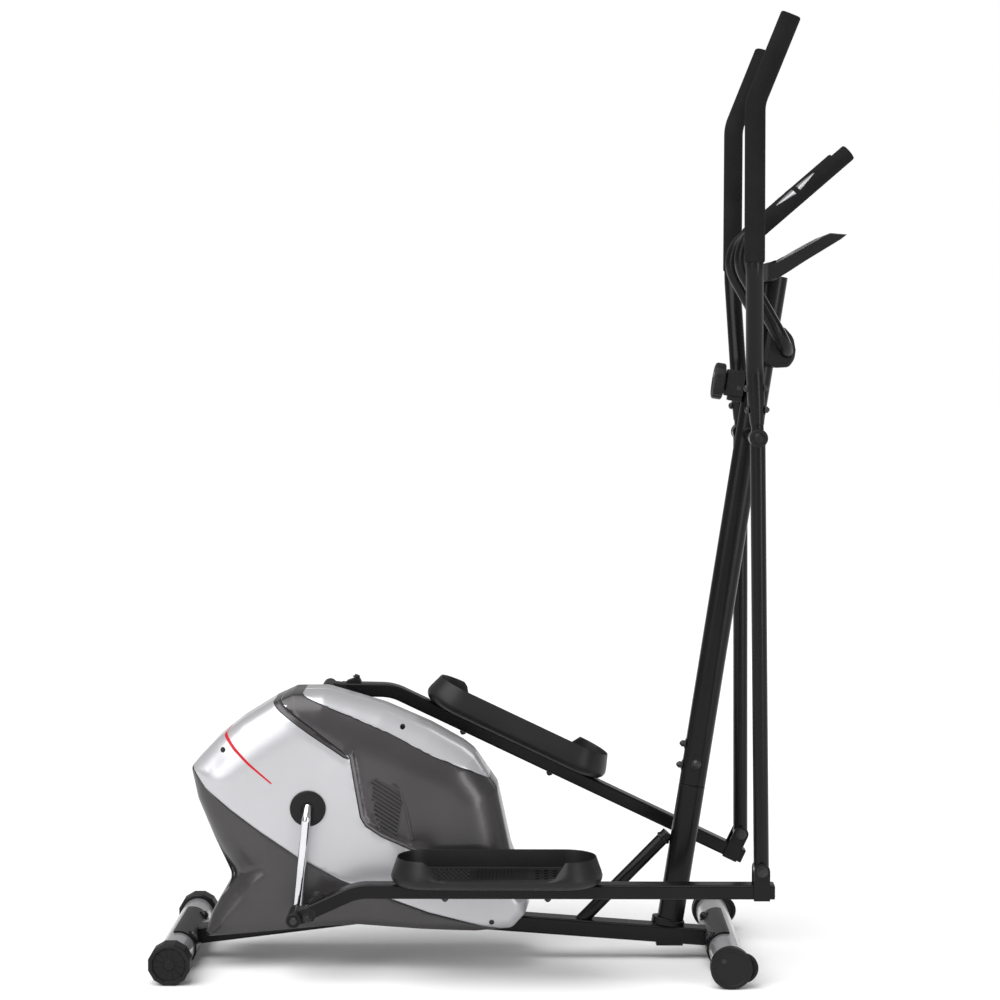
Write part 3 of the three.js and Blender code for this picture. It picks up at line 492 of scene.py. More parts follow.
beam_path = rounded([(BEAM_REAR[0], 0, BEAM_REAR[1]), (BEAM_CROWN[0], 0, BEAM_CROWN[1]),
                     (BEAM_FRONT[0], 0, BEAM_FRONT[1])], 300, 12)
beam = swept(refined(beam_path, 40), round_rect(40, 30, 4), level=True, ends=0.6)
foot_pad = slab([(248, -19), (296, -19), (296, 19), (248, 19)], 24.5, 40, flat_z(), 1.2)
collar_ring = swept([Vector((266.5, 0, 60)), Vector((268.5, 0, 73))], oval(43, 54), level=True, ends=1.5)
piece("floor_beam", "frame", BLACK, [beam, foot_pad, collar_ring], ["main_beam"])

for name, (fx, fz), first, last, bolt in (("rear", REAR, -70, 105, 40), ("front", FRONT, 75, 250, 140)):
    away = Vector((math.cos(math.radians(bolt)), 0, math.sin(math.radians(bolt))))
    ends = [(TUBE_R - 1.5, -STABILISER_HALF), (TUBE_R, 1 - STABILISER_HALF),
            (TUBE_R, STABILISER_HALF - 1), (TUBE_R - 1.5, STABILISER_HALF)]
    piece(f"{name}_stabiliser", "frame", SILVER_TUBE, [turning(mm(fx, 0, fz), Y_AXIS, ends, 48)],
          [f"{name}_stabiliser_tube"])
    outline = [*arc(fx, fz, 32.5, first, last, 26), *arc(fx, fz, 29.5, last, first, 26)]
    plate = slab(outline, -95, 95, flat_y(), 0.6)
    bolts = []
    for y in (-75, 75):
        seat = mm(fx, y, fz) + away * 0.0322
        bolts += dome_nut(seat, away, 7.5)
        bolts.append(washer(seat, away, 11, 4, 1.4))
    piece(f"{name}_saddle_plate", "frame", BLACK, [plate], [f"{name}_saddle"],
          extra=[(DARK_BOLT, bolts)])

LEVELLER_R, LEVELLER_Y, LEVELLER_SIDES = 37.27, 174, 12
for hand, side in HANDS:
    out = Y_AXIS * side
    centre = mm(REAR[0], side * LEVELLER_Y, REAR[1])
    tilt = math.pi / LEVELLER_SIDES
    r = LEVELLER_R
    cap = turning(centre, out, [(31, 0), (34.5, 0), (r - 1.0, 1.6), (r, 3.2), (r, 33.5), (r - 1.2, 35.6),
                                (r - 3.5, 36.8), (30, 36.8), (28.6, 35.2), (28, 33.6), (10, 33.6),
                                (9, 34.6), (0, 35.2)], LEVELLER_SIDES, tilt)
    ribs = []
    for i in range(LEVELLER_SIDES):
        a = tilt + 2 * math.pi * i / LEVELLER_SIDES
        spoke = Vector((math.cos(a), 0, math.sin(a)))
        nearer, farther = spoke * 0.0105, spoke * 0.0275
        width = Vector((-spoke.z, 0, spoke.x)) * 0.0011
        base = mm(REAR[0], side * (LEVELLER_Y + 33.2), REAR[1])
        rise = out * 0.0016
        corners = [base + nearer - width, base + farther - width,
                   base + farther + width, base + nearer + width]
        ribs.append(loft([corners, [c + rise for c in corners]]))
    piece(f"rear_level_cap_{hand}", f"leveller_{hand}", PLASTIC, [cap, *ribs],
          [f"rear_levelling_cap_{hand}"], sharp=22)

# x and z of the transport wheels' axis
WHEEL = (386, 35)
WHEEL_BAY_R, CAP_BODY_R = 27.0, 35.0
for hand, side in HANDS:
    out = Y_AXIS * side
    fx, fz = FRONT
    flange = puck(mm(fx, side * 206.3, fz), out, 35.4, 3, 0.8, 48)
    # the hub between flange and face is round, with a bay cut into its front for the wheel
    gap = math.hypot(WHEEL[0] - fx, WHEEL[1] - fz)
    bay, body_r = WHEEL_BAY_R, CAP_BODY_R
    meet = (gap ** 2 + body_r ** 2 - bay ** 2) / (2 * gap)
    half = math.degrees(math.acos(meet / body_r))
    bay_half = math.degrees(math.acos((gap - meet) / bay))
    heading = math.degrees(math.atan2(WHEEL[1] - fz, WHEEL[0] - fx))
    crescent = [*arc(fx, fz, body_r, heading + half, heading + 360 - half, 40),
                *arc(WHEEL[0], WHEEL[1], bay, heading + 180 + bay_half, heading + 180 - bay_half, 20)]
    middle = side_slab(crescent, side, 208.8, 222.4, edge=0.5)
    face = turning(mm(fx, side * 222, fz), out, [(34.6, 0), (35.8, 0.8), (36, 1.6), (36, 3.8), (35.2, 5.4),
                                                 (33, 6.0), (29.5, 6.0), (28.6, 5.2), (0, 5.2)], 48)
    screw = puck(mm(fx - 13, side * 227, fz + 13), out, 4.2, 1.2, 0.4, 20)
    piece(f"front_cap_{hand}", "frame", PLASTIC, [flange, middle, face], [f"front_end_cap_{hand}"],
          extra=[(DARK_BOLT, [screw])])
    wheel = turning(mm(WHEEL[0], side * 209.4, WHEEL[1]), out,
                    [(4.5, 0.6), (6, 0), (9, 0), (10, 1.6), (19, 1.6), (20, 0.3), (23.8, 0.3), (25.2, 1.6),
                     (25.6, 3.2), (25.6, 9.0), (25.2, 10.6), (23.8, 11.9), (20, 11.9), (19, 10.6),
                     (10, 10.6), (9, 12.2), (6, 12.2), (4.5, 11.6)], 48, closed=True)
    piece(f"transport_wheel_body_{hand}", f"wheel_{hand}", RUBBER, [wheel], [f"transport_wheel_{hand}"])

# ------------------------------------------------------------------ upright and post
LEAN = math.atan(0.156)
SEAM_Z, POST_TOP = 313, 1221
POST_DEPTH, POST_WIDTH = 47, 38


def on_post(z, back=0.0, y=0.0):
    """A point on the post's axis at height z, moved back across it."""
    x = PIVOT.x + (z - PIVOT.z) * math.tan(LEAN) - back * math.cos(LEAN)
    return Vector((x, y, z + back * math.sin(LEAN)))


post_section = oval(POST_WIDTH, POST_DEPTH)
socket_low = on_post(66)
socket = swept(refined([socket_low, on_post(SEAM_Z)], 60), post_section, level=True, ends=0.8)
weld = swept([on_post(60), on_post(70)], oval(POST_WIDTH + 5, POST_DEPTH + 6), level=True, ends=3)
piece("post_socket", "frame", BLACK, [socket, weld], ["upright_socket"])
post = swept(refined([on_post(SEAM_Z + 0.7), on_post(POST_TOP)], 80), post_section, level=True, ends=0.8)
post_bits = []
backward = Vector((-math.cos(LEAN), 0, math.sin(LEAN)))
for z in (345, 383):
    spot = on_post(z, POST_DEPTH / 2 - 0.5)
    post_bits += hex_bolt(mm(*spot), backward, 6.4, 6.5, 9.5)
    post_bits += dome_nut(mm(*(spot + backward * 7)), backward, 4.0)
side_bolts = []
for hand, side in HANDS:
    spot = mm(*on_post(353, 0, side * (POST_WIDTH / 2 - 0.6)))
    side_bolts += dome_nut(spot, Y_AXIS * side, 8)
hub_tube = turning(mm(PIVOT.x, -31, PIVOT.z), Y_AXIS, [(13, 0), (14, 1), (14, 61), (13, 62)], 36)
piece("post_tube", "frame", BLACK, [post, hub_tube], ["handlebar_post"],
      extra=[(DARK_BOLT, [*post_bits, *side_bolts])])
brace_low, brace_high = Vector((104, 0, 55.8)), Vector((270, 0, 225.5))
BRACE_R = 11.5
brace = swept(refined([brace_low, brace_high], 50), circle(BRACE_R), ends=0.5)
brace_weld = turning(mm(259, 0, 214.2), (0.7, 0, 0.71), [(12.5, 0), (14, 2), (13.5, 4), (12, 6)], 28)
piece("brace_tube", "frame", BLACK, [brace, brace_weld], ["diagonal_brace"])
rod_ends = [(7, -178), (8, -177), (8, 177), (7, 178)]
piece("pivot_rod", "frame", CHROME, [turning(mm(PIVOT.x, 0, PIVOT.z), Y_AXIS, rod_ends, 32)],
      ["pivot_axle"])

# ------------------------------------------------------------------ swing arms
FOAM_START = 296
LOWER_TUBE_R, HANDLE_R, FOAM_R = 13.3, 15, 17.3


def handle_corners(side):
    return [(-0.7, side * ARM_Y, 22), (-4.4, side * ARM_Y, 120), (-9.2, side * 226, 283),
            (-6.5, side * 232, 562), (51, side * 252, 701)]


def part_above(path, z):
    first = next(i for i, p in enumerate(path) if p.z > z)
    share = (z - path[first - 1].z) / (path[first].z - path[first - 1].z)
    return [path[first - 1].lerp(path[first], share), *path[first:]]


for hand, side in HANDS:
    place = swing_place(side)
    body = f"swing_{hand}"
    out = Y_AXIS * side
    tube = swept(refined([Vector((0, side * ARM_Y, -SWING_LENGTH + 2)), Vector((0, side * ARM_Y, 0))], 60),
                 circle(LOWER_TUBE_R, 32), place, ends=0.6)
    hub = turning(place(0, side * 146, 0), out, [(14, 0), (15.2, 1), (15.2, 31), (14, 32)], 36)
    eye = turning(place(0, side * (ARM_Y - 16.6), -SWING_LENGTH), out,
                  [(12, 0), (13.4, 1), (13.4, 32.2), (12, 33.2)], 32)
    neck = swept([Vector((0, side * ARM_Y, 5)), Vector((-1.2, side * ARM_Y, 38))], circle(10.8), place,
                 ends=0.5)
    piece(f"swing_tube_{hand}", body, BLACK, [tube, hub, eye, neck], [f"swing_lower_arm_{hand}"])

    path = refined(rounded(handle_corners(side), 70, 12), 30)
    length = [0.0]
    for a, b in zip(path, path[1:]):
        length.append(length[-1] + (b - a).length)
    sizes = [min(1.0, 0.80 + 0.20 * min(1, s / 22)) for s in length]
    tube = swept(path, circle(HANDLE_R, 32), place, sizes=sizes, ends=1.2)
    bolts = []
    for z in (85, 48):
        seat = place(13.4 - z * 0.035, side * ARM_Y, z)
        bolts += hex_bolt(seat, (1, 0, 0.02), 6.2, 5, 8.5)
        bolts += dome_nut(seat + Vector((0.0055, 0, 0)), (1, 0, 0.02), 3.6)
        back = place(-14.4 - z * 0.035, side * ARM_Y, z)
        bolts += dome_nut(back, (-1, 0, 0), 6)
    piece(f"handle_tube_{hand}", body, BLACK, [tube], [f"swing_upper_handle_{hand}"],
          extra=[(DARK_BOLT, bolts)])

    covered = part_above(path, FOAM_START)
    heading = (covered[-1] - covered[-2]).normalized()
    covered[-1] = covered[-1] + heading * 4
    sleeve = swept(covered, circle(FOAM_R, 36), place, ends=4.0)
    grip = piece(f"foam_sleeve_{hand}", body, FOAM, [sleeve], [f"foam_grip_{hand}"], sharp=60)

    cap = puck(place(0, side * 178.4, 0), out, 15.8, 6, 1.6, 36)
    dome = turning(place(0, side * 184.2, 0), out,
                   [(9.5, 0), (9.2, 1.2), (6.6, 3.4), (3, 4.4), (0, 4.6)], 28)
    piece(f"pivot_cover_{hand}", body, PLASTIC, [cap, dome], [f"pivot_cap_{hand}"])

# ------------------------------------------------------------------ pedal arms
ARM_W, ARM_H, ARM_DROP, ARM_BEND_X = 36, 25, 37, -699
for hand, side in HANDS:
    place = arm_place(side)
    body = f"pedal_arm_{hand}"
    out = Y_AXIS * side
    y = side * ARM_Y
    corners = [Vector((22, y, -ARM_DROP)), Vector((ARM_BEND_X, y, -ARM_DROP)),
               Vector((PIN_IN_ARM.x + 22, y, PIN_IN_ARM.z + 8))]
    tube = swept(refined(rounded(corners, 90, 10), 60), round_rect(ARM_W, ARM_H, 4), place,
                 level=True, ends=0.5)
    shapes = [tube]
    for face in (-1, 1):
        outline = [(-14.5, -51.5), (13.5, -51.5), *arc(-0.5, 0, 14, 0, 180, 14)]
        shapes.append(side_slab(outline, side, ARM_Y + face * 17.7, ARM_Y + face * 21.2, place, 0.8))
    end_plug = side_slab([(16, -48), (22.6, -48), (22.6, -26), (16, -26)], side, 146, 178, place, 1.2)
    bolts = []
    for x in (-547, -369):
        seat = place(x, y, -ARM_DROP - ARM_H / 2 + 0.4)
        down = seat - place(x, y, 0)
        bolts += hex_bolt(seat, down, 6.6, 4.2, 9.2)
        bolts += dome_nut(seat + down.normalized() * 0.0045, down, 4.2)
    piece(f"pedal_arm_tube_{hand}", body, BLACK, shapes, [f"pedal_arm_{hand}"],
          extra=[(PLASTIC, [end_plug]), (DARK_BOLT, bolts)])

    pin = [turning(place(0, side * (ARM_Y - 22), 0), out, [(4.6, 0), (5, 0.4), (5, 44), (4.6, 44.4)], 24)]
    pin += hex_bolt(place(0, side * (ARM_Y + 21.4), 0), out, 7.6, 4.6, 9.8)
    pin += hex_bolt(place(0, side * (ARM_Y - 21.4), 0), -out, 7.6, 4.6, 9.8)
    piece(f"clevis_bolt_{hand}", body, DARK_BOLT, pin, [f"clevis_pin_{hand}"])

    px, pz = PIN_IN_ARM.x, PIN_IN_ARM.z
    barrel = turning(place(px, side * 126.4, pz), out, [(11.6, 0), (13, 1.2), (13, 68.4), (11.8, 69.6),
                                                       (9.2, 69.6), (8.6, 68.8), (0, 68.8)], 36)
    cheek_outline = [(px + 2, pz - 12), (px + 34, pz - 4), (px + 40, pz + 14), (px + 24, pz + 20),
                     (px, pz + 12)]
    cheek = side_slab(cheek_outline, side, 143, 181, place, 2.0)
    pin_bits = hex_bolt(place(px, side * 195, pz), out, 7.0, 3.4)
    pin_bits += hex_bolt(place(px + 23, side * 181, pz + 2), out, 6.4, 4.5, 8.5)
    strap_outline = [(px + 25, pz + 15), (px + 52, pz + 27), (px + 50, pz + 36), (px + 44, pz + 41),
                     (px + 34, pz + 36), (px + 24, pz + 26)]
    strap = side_slab(strap_outline, side, 152, 172, place, 2.0)
    strap_top = place(px + 38, y, pz + 38)
    pin_bits += hex_bolt(strap_top, place(px + 38, y, pz + 48) - strap_top, 6, 5, 8)
    piece(f"crank_joint_{hand}", body, PLASTIC, [barrel, cheek, strap], [f"crank_pin_housing_{hand}"],
          extra=[(DARK_BOLT, pin_bits)])

# ------------------------------------------------------------------ pedals
PEDAL_MID, PEDAL_L, PEDAL_IN, PEDAL_OUT = -457, 365, 104, 240
FLOOR_Z, RIM_Z, BOTTOM_Z, LOW_RIM = -8, 25, -24, -4.5


def smooth_step(t):
    t = min(1.0, max(0.0, t))
    return t * t * (3 - 2 * t)


def stadium(length, width, radius, straight=14, bend=10):
    """A racetrack outline with points spread along its straights, centred on zero."""
    a, b = length / 2 - radius, width / 2 - radius
    corners = [(a, b, 0), (-a, b, 90), (-a, -b, 180), (a, -b, 270)]
    points = []
    for i, (cx, cy, first) in enumerate(corners):
        for k in range(bend + 1):
            t = math.radians(first + 90 * k / bend)
            points.append((cx + radius * math.cos(t), cy + radius * math.sin(t)))
        nx, ny, _ = corners[(i + 1) % 4]
        angle = math.radians(first + 90)
        here = (cx + radius * math.cos(angle), cy + radius * math.sin(angle))
        there = (nx + radius * math.cos(angle), ny + radius * math.sin(angle))
        count = straight if i % 2 == 0 else 3
        for k in range(1, count):
            s = k / count
            points.append((here[0] + (there[0] - here[0]) * s, here[1] + (there[1] - here[1]) * s))
    return points


def pedal_shapes(side, place):
    width = PEDAL_OUT - PEDAL_IN
    mid_y = side * (PEDAL_IN + PEDAL_OUT) / 2

    def rim_height(x, y):
        """The outer wall is cut down along its middle."""
        outer = smooth_step((side * y - 8) / 26)
        span = smooth_step((x + 122) / 20) * smooth_step((116 - x) / 20)
        return 1 - outer * span

    rows = [(26, BOTTOM_Z, 0), (14, BOTTOM_Z + 0.8, 0), (6.5, BOTTOM_Z + 3.5, 0), (2.2, BOTTOM_Z + 8, 0),
            (0.4, BOTTOM_Z + 13, 0), (0, BOTTOM_Z + 17, 0), (2.0, 0.22, 1), (4.6, 0.45, 1), (7.6, 0.72, 1),
            (9.8, 0.92, 1), (11.0, 1.0, 1), (12.4, 0.985, 1), (13.2, 0.90, 1), (13.8, 0.5, 1),
            (14.6, FLOOR_Z + 2.2, 0), (17, FLOOR_Z + 0.5, 0), (21, FLOOR_Z, 0)]
    rings = []
    for inset, level, kind in rows:
        radius = max(20, 66 - inset)
        ring = []
        for x, y in stadium(PEDAL_L - 2 * inset, width - 2 * inset, min(radius, width / 2 - inset - 0.5)):
            if kind:
                keep = rim_height(x, y)
                top = LOW_RIM + (RIM_Z - LOW_RIM) * keep
                z = LOW_RIM - 1.5 + (top - LOW_RIM + 1.5) * level
            else:
                z = level
            ring.append(place(PEDAL_MID + x, mid_y + y, z))
        rings.append(ring)
    return loft(rings), mid_y


def bar_on(place, x0, x1, y0, y1, z0, z1, inset=0.8):
    """A small raised block with sloping sides."""
    low = [place(x0, y0, z0), place(x1, y0, z0), place(x1, y1, z0), place(x0, y1, z0)]
    i = inset
    sx, sy = (1 if x1 > x0 else -1), (1 if y1 > y0 else -1)
    high = [place(x0 + i * sx, y0 + i * sy, z1), place(x1 - i * sx, y0 + i * sy, z1),
            place(x1 - i * sx, y1 - i * sy, z1), place(x0 + i * sx, y1 - i * sy, z1)]
    return loft([low, high])


def tread_shapes(place, mid_y):
    """The tread: two fields of small bumps, a block of ribs between them and chevrons in front."""
    shapes = []
    z0, z1 = FLOOR_Z - 0.6, FLOOR_Z + 1.9
    for i in range(9):
        for j in range(6):
            x = PEDAL_MID - 122 + i * 8.6 + (j % 2) * 4.3
            y = mid_y - 38 + j * 15
            shapes.append(bar_on(place, x - 2.3, x + 2.3, y - 4.2, y + 4.2, z0, z1, 1.0))
    for i in range(14):
        x = PEDAL_MID - 34 + i * 6.4
        shapes.append(bar_on(place, x - 1.6, x + 1.6, mid_y - 42, mid_y + 42, z0, z1 + 0.4, 0.7))
    for j in range(4):
        for i in range(4):
            x = PEDAL_MID + 66 + i * 15
            y = mid_y - 38 + j * 21
            for k, turn in ((0, 1), (1, -1)):
                a = [x + 7.5 * k, y + 3.5 * turn]
                low = [place(a[0] + p, a[1] + q, z0) for p, q in
                       ((0, -4 * turn), (7.5, 4 * turn), (7.5, 7.5 * turn), (0, -0.5 * turn))]
                high = [place(a[0] + p, a[1] + q, z1) for p, q in
                        ((0.5, -3 * turn), (7.2, 4.4 * turn), (7.2, 6.6 * turn), (0.5, -1.2 * turn))]
                shapes.append(loft([low, high]))
    for turn in (-1, 1):
        y = mid_y + turn * 44
        shapes.append(bar_on(place, PEDAL_MID - 132, PEDAL_MID + 132, y - 1.2, y + 1.2, z0, z1, 0.6))
    return shapes


for hand, side in HANDS:
    place = arm_place(side)
    shell, mid_y = pedal_shapes(side, place)
    piece(f"pedal_tray_{hand}", f"pedal_arm_{hand}", PEDAL_PLASTIC, [shell, *tread_shapes(place, mid_y)],
          [f"pedal_{hand}"], sharp=50)

# ------------------------------------------------------------------ cranks
CRANK_BAR_R, CRANK_BAR_Y = 8, 117
for hand, side in HANDS:
    place = crank_place(side)
    out = Y_AXIS * side
    path = rounded([Vector((0, side * 99.5, 3)), Vector((0, side * CRANK_BAR_Y, -15)),
                    Vector((0, side * CRANK_BAR_Y, -CRANK_RADIUS + 6))], 13, 10)
    bar = swept(refined(path, 30), circle(CRANK_BAR_R, 32), place, ends=1)
    eye = turning(place(0, side * 108.6, -CRANK_RADIUS), out,
                  [(10, 0), (11.4, 1.2), (11.4, 15.6), (10, 16.8)], 36)
    piece(f"crank_rod_{hand}", "crank", CHROME, [bar, eye], [f"crank_arm_{hand}"])
    disc = turning(mm(CRANK.x, side * 100.7, CRANK.z), out,
                   [(30.6, 0), (31.5, 0.8), (31.5, 2.4), (30.2, 3.6), (27, 4.2), (14, 4.7), (11.5, 4.0),
                    (10.5, 2.6), (0, 2.4)], 56)
    piece(f"crank_disc_{hand}", "crank", PLASTIC, [disc], [f"crank_cover_disc_{hand}"])

# ------------------------------------------------------------------ casing
HALF = 100.0
# ahead of FRONT_BEND_X the side bends inward, reaching FRONT_BEND after FRONT_RUN
FRONT_BEND_X, FRONT_RUN, FRONT_BEND = -150, 120, 9.0
# x, z, radius of the shoulder, its depth and the corner's radius, clockwise from the rear foot
OUTLINE = [
    (-555, 54, 26, 22, 8), (-542, 96, 40, 34, 30), (-506, 159, 55, 46, 26), (-537, 225, 60, 50, 60),
    (-567, 298, 62, 50, 50), (-579, 353, 70, 50, 14), (-535, 399, 84, 50, 80), (-492, 433, 88, 48, 90),
    (-433, 469, 88, 46, 60), (-398, 485, 80, 44, 10), (-342, 486, 88, 46, 40), (-292, 472, 92, 50, 90),
    (-236, 456, 95, 54, 90), (-155, 421, 95, 56, 90), (-96, 388, 88, 56, 40), (-77, 373, 80, 54, 30),
    (-36, 313, 72, 48, 16), (-12, 202, 66, 44, 90), (22, 116, 36, 32, 16), (13, 92, 26, 22, 20),
    (-10, 70, 20, 18, 14), (-74, 66, 18, 16, 60), (-172, 70, 18, 16, 90), (-283, 78, 20, 16, 90),
    (-342, 75, 20, 16, 90), (-437, 65, 22, 18, 90),
]

# midline of the groove between the silver side and the dark panel, with its half width
GROOVE = [(-438, 487, 7.6), (-429.5, 476.8, 7.3), (-416.9, 462, 6.6), (-397.5, 447.2, 6.0),
          (-364.8, 423.7, 6.0), (-331.2, 399.4, 4.6), (-304, 379.3, 3.4), (-298, 375, 1.6)]
# the bead, the seam over the dark panel, the seam over the dark tail, and the red stripe
BEAD = [(-297, 380), (-295, 374), (-291.5, 353), (-283, 304), (-277, 270.6), (-268, 255.3), (-241, 237),
        (-193, 215.5), (-120, 182), (16, 140)]
SPLIT_TOP = [(-388, 492), (-383, 487.5), (-370.6, 478.7), (-302.6, 451.2), (-231, 420.3), (-150.4, 378.5),
             (-75.2, 347), (-40, 328), (-30, 324)]
SPLIT_LOW = [(-590, 366), (-576, 357), (-550, 322), (-505, 285), (-452, 245), (-387, 201), (-311, 160),
             (-235, 131), (-158, 103), (-67, 79), (-8, 66), (0, 50)]
STRIPE = [(-521, 418), (-499, 391.5), (-473, 366), (-451, 347), (-432, 331)]
SCREWS = [(-519, 388), (-203, 428), (-46, 84)]
VENT = [(-259, 344), (-213, 330), (-206, 322), (-200.5, 303), (-186, 222), (-196, 220), (-244, 249),
        (-256, 302)]


def round_outline():
    path = []
    n = len(OUTLINE)
    for i, (x, z, _, _, corner) in enumerate(OUTLINE):
        here = Vector((x, z))
        before = Vector(OUTLINE[i - 1][:2])
        after = Vector(OUTLINE[(i + 1) % n][:2])
        into, out = (here - before), (after - here)
        turn = into.angle_signed(out)
        if abs(turn) < 0.02:
            path.append(here)
            continue
        reach = min(corner * math.tan(abs(turn) / 2), 0.45 * into.length, 0.45 * out.length)
        a, b = here - into.normalized() * reach, here + out.normalized() * reach
        for k in range(7):
            t = k / 6
            path.append(a.lerp(here, t).lerp(here.lerp(b, t), t))
    return path


EDGE = round_outline()


def to_segment(p, a, b):
    ab = b - a
    t = max(0.0, min(1.0, (p - a).dot(ab) / max(ab.length_squared, 1e-9)))
    return (a + ab * t - p).length, t


def inside(p, polygon):
    x, z = p[0], p[1]
    hit = False
    for i in range(len(polygon)):
        (x0, z0), (x1, z1) = polygon[i - 1][:2], polygon[i][:2]
        if (z0 > z) != (z1 > z) and x < (x1 - x0) * (z - z0) / (z1 - z0) + x0:
            hit = not hit
    return hit


def edge_distance(p):
    return min(to_segment(p, EDGE[i - 1], EDGE[i])[0] for i in range(len(EDGE)))


def shoulder(p):
    """Shoulder radius and depth near p, blended along the nearest stretch of the outline."""
    total, radius, depth = 0.0, 0.0, 0.0
    n = len(OUTLINE)
    for i in range(n):
        a, b = OUTLINE[i - 1], OUTLINE[i]
        gap, t = to_segment(p, Vector(a[:2]), Vector(b[:2]))
        weight = 1 / (gap + 4) ** 4
        total += weight
        radius += weight * (a[2] + (b[2] - a[2]) * t)
        depth += weight * (a[3] + (b[3] - a[3]) * t)
    return radius / total, depth / total


def line_distance(p, line):
    return min(to_segment(p, Vector(line[i - 1]), Vector(line[i]))[0] for i in range(1, len(line)))


# regions of the side face, run out past its edge: ahead of the bead, above the top seam, below the low seam
BEAD_REGION = [*BEAD, (60, 150), (60, 600), (-440, 600), (-424, 483), (-396, 451), (-331, 402)]
TOP_REGION = [*SPLIT_TOP, (60, 320), (60, 600), (-388, 600)]
TAIL_REGION = [*SPLIT_LOW, (-700, 0), (-700, 366)]


def moved_point(line, i, amount):
    """A point of the line, moved square to it."""
    before = Vector(line[max(i - 1, 0)])
    after = Vector(line[min(i + 1, len(line) - 1)])
    along = (after - before).normalized()
    return Vector(line[i]) + Vector((-along.y, along.x)) * amount


def offset_line(line, amount):
    return [moved_point(line, i, amount) for i in range(len(line))]


def tapered(line, width):
    """A thin closed outline along a line, narrower at its last end."""
    n = len(line) - 1
    halves = [width / 2 * (1 - 0.55 * i / n) for i in range(n + 1)]
    left = [moved_point(line, i, half) for i, half in enumerate(halves)]
    right = [moved_point(line, i, -half) for i, half in enumerate(halves)]
    return [*left, *reversed(right)]


STRIPE_SHAPE = tapered(STRIPE, 6.2)
SCREW_R, SCREW_DEPTH, SCREW_SEAT = 4.6, 4.5, 4.4
GROOVE_LINE = 1.3
# the tail's fold, the crest below it, and the fin between the two
CREASE = [(-520, 159), (-438, 180)]
CREST = [(-438, 180), (-470, 157), (-505, 126), (-543, 92), (-556, 80)]
FIN = [(-530, 157), (-438, 180), (-470, 157), (-505, 126), (-543, 92), (-575, 60), (-600, 150)]


def groove_gap(p):
    """Distance from the groove's midline, and the groove's half width there."""
    best = (1e9, 0.0)
    for a, b in zip(GROOVE, GROOVE[1:]):
        gap, t = to_segment(p, Vector(a[:2]), Vector(b[:2]))
        if gap < best[0]:
            best = (gap, a[2] + (b[2] - a[2]) * t)
    return best


def groove_lines():
    """The groove's midline and its borders, for the net."""
    lines = []
    middle = [(x, z) for x, z, _ in GROOVE]
    steps = ((1, 0), (1, GROOVE_LINE), (0.5, 0), (0, 0), (-0.5, 0), (-1, -GROOVE_LINE), (-1, 0))
    for share, inset in steps:
        moved = [moved_point(middle, i, share * half - inset) for i, (_, _, half) in enumerate(GROOVE)]
        lines.append(moved)
    return lines


# distances from the bead's line: its seam, a near-black line of painted shade, and the light band on the
# bead itself, a painted highlight
BEAD_SEAM, BEAD_NEAR, BEAD_FAR = 1.2, 3.0, 6.4
# depths on the side face
PANEL_DEPTH, BEAD_RISE, BEAD_SEAM_DEPTH, GROOVE_DEPTH = 3.2, 2.2, 1.6, 3.6
TOP_SEAM_DEPTH, LOW_SEAM_DEPTH, CREASE_DEPTH, VENT_DEPTH = 1.2, 1.6, 26, 1.2
CREASE_SLOPE = 0.256
# a zone is the number of its finish
ZONE_FINISHES = (SILVER, DARK, SEAM_SHADOW, RED, BEAD_HIGHLIGHT)
SILVER_ZONE, DARK_ZONE, SEAM_SHADOW_ZONE, RED_ZONE, BEAD_HIGHLIGHT_ZONE = range(5)


def zone_of(p):
    # screw pits painted near-black: painted shade in the recess
    if any((p - Vector(s)).length < SCREW_R for s in SCREWS):
        return SEAM_SHADOW_ZONE
    if inside(p, STRIPE_SHAPE):
        return RED_ZONE
    if inside(p, TAIL_REGION):
        return DARK_ZONE
    # the groove's two border lines are painted near-black: painted shade along its edges
    gap, half = groove_gap(p)
    if gap < half:
        return SEAM_SHADOW_ZONE if gap > half - GROOVE_LINE else DARK_ZONE
    if inside(p, TOP_REGION):
        return SILVER_ZONE
    if inside(p, BEAD_REGION):
        # the near-black line along the bead is painted shade; the lighter band beside it is a painted
        # highlight on the bead
        gap = line_distance(p, BEAD)
        if gap < BEAD_SEAM:
            return SEAM_SHADOW_ZONE
        return BEAD_HIGHLIGHT_ZONE if BEAD_NEAR < gap < BEAD_FAR else DARK_ZONE
    return SILVER_ZONE


def relief(p):
    """Local depth changes on the side face, in millimetres."""
    rise = 0.0
    if inside(p, BEAD_REGION) and not inside(p, TOP_REGION) and not inside(p, TAIL_REGION):
        gap = line_distance(p, BEAD)
        rise -= PANEL_DEPTH * smooth_step((gap - 7) / 5)
        rise += BEAD_RISE * math.exp(-((gap - 5.0) / 3.2) ** 2)
        rise -= BEAD_SEAM_DEPTH * math.exp(-(gap / 1.3) ** 2)
    gap, half = groove_gap(p)
    rise -= GROOVE_DEPTH * smooth_step(1.25 - gap / (half + 1.5))
    for line, depth in ((SPLIT_TOP, TOP_SEAM_DEPTH), (SPLIT_LOW, LOW_SEAM_DEPTH)):
        gap = line_distance(p, line)
        if gap < 4:
            rise -= depth * math.exp(-(gap / 1.1) ** 2)
    if inside(p, TAIL_REGION):
        reach, along = to_segment(p, Vector(CREASE[0]), Vector(CREASE[1]))
        depth = CREASE_DEPTH * (1 - along) ** 0.8
        if inside(p, FIN):
            below = line_distance(p, CREST)
            rise -= depth * below / (below + reach + 0.1)
        elif p.y > CREASE[0][1] + (p.x - CREASE[0][0]) * CREASE_SLOPE:
            rise -= depth * math.exp(-(reach / 46) ** 1.5)
    if inside(p, VENT):
        rise -= VENT_DEPTH
    for s in SCREWS:
        if (p - Vector(s)).length < SCREW_R - 0.3:
            rise -= SCREW_DEPTH
    return rise


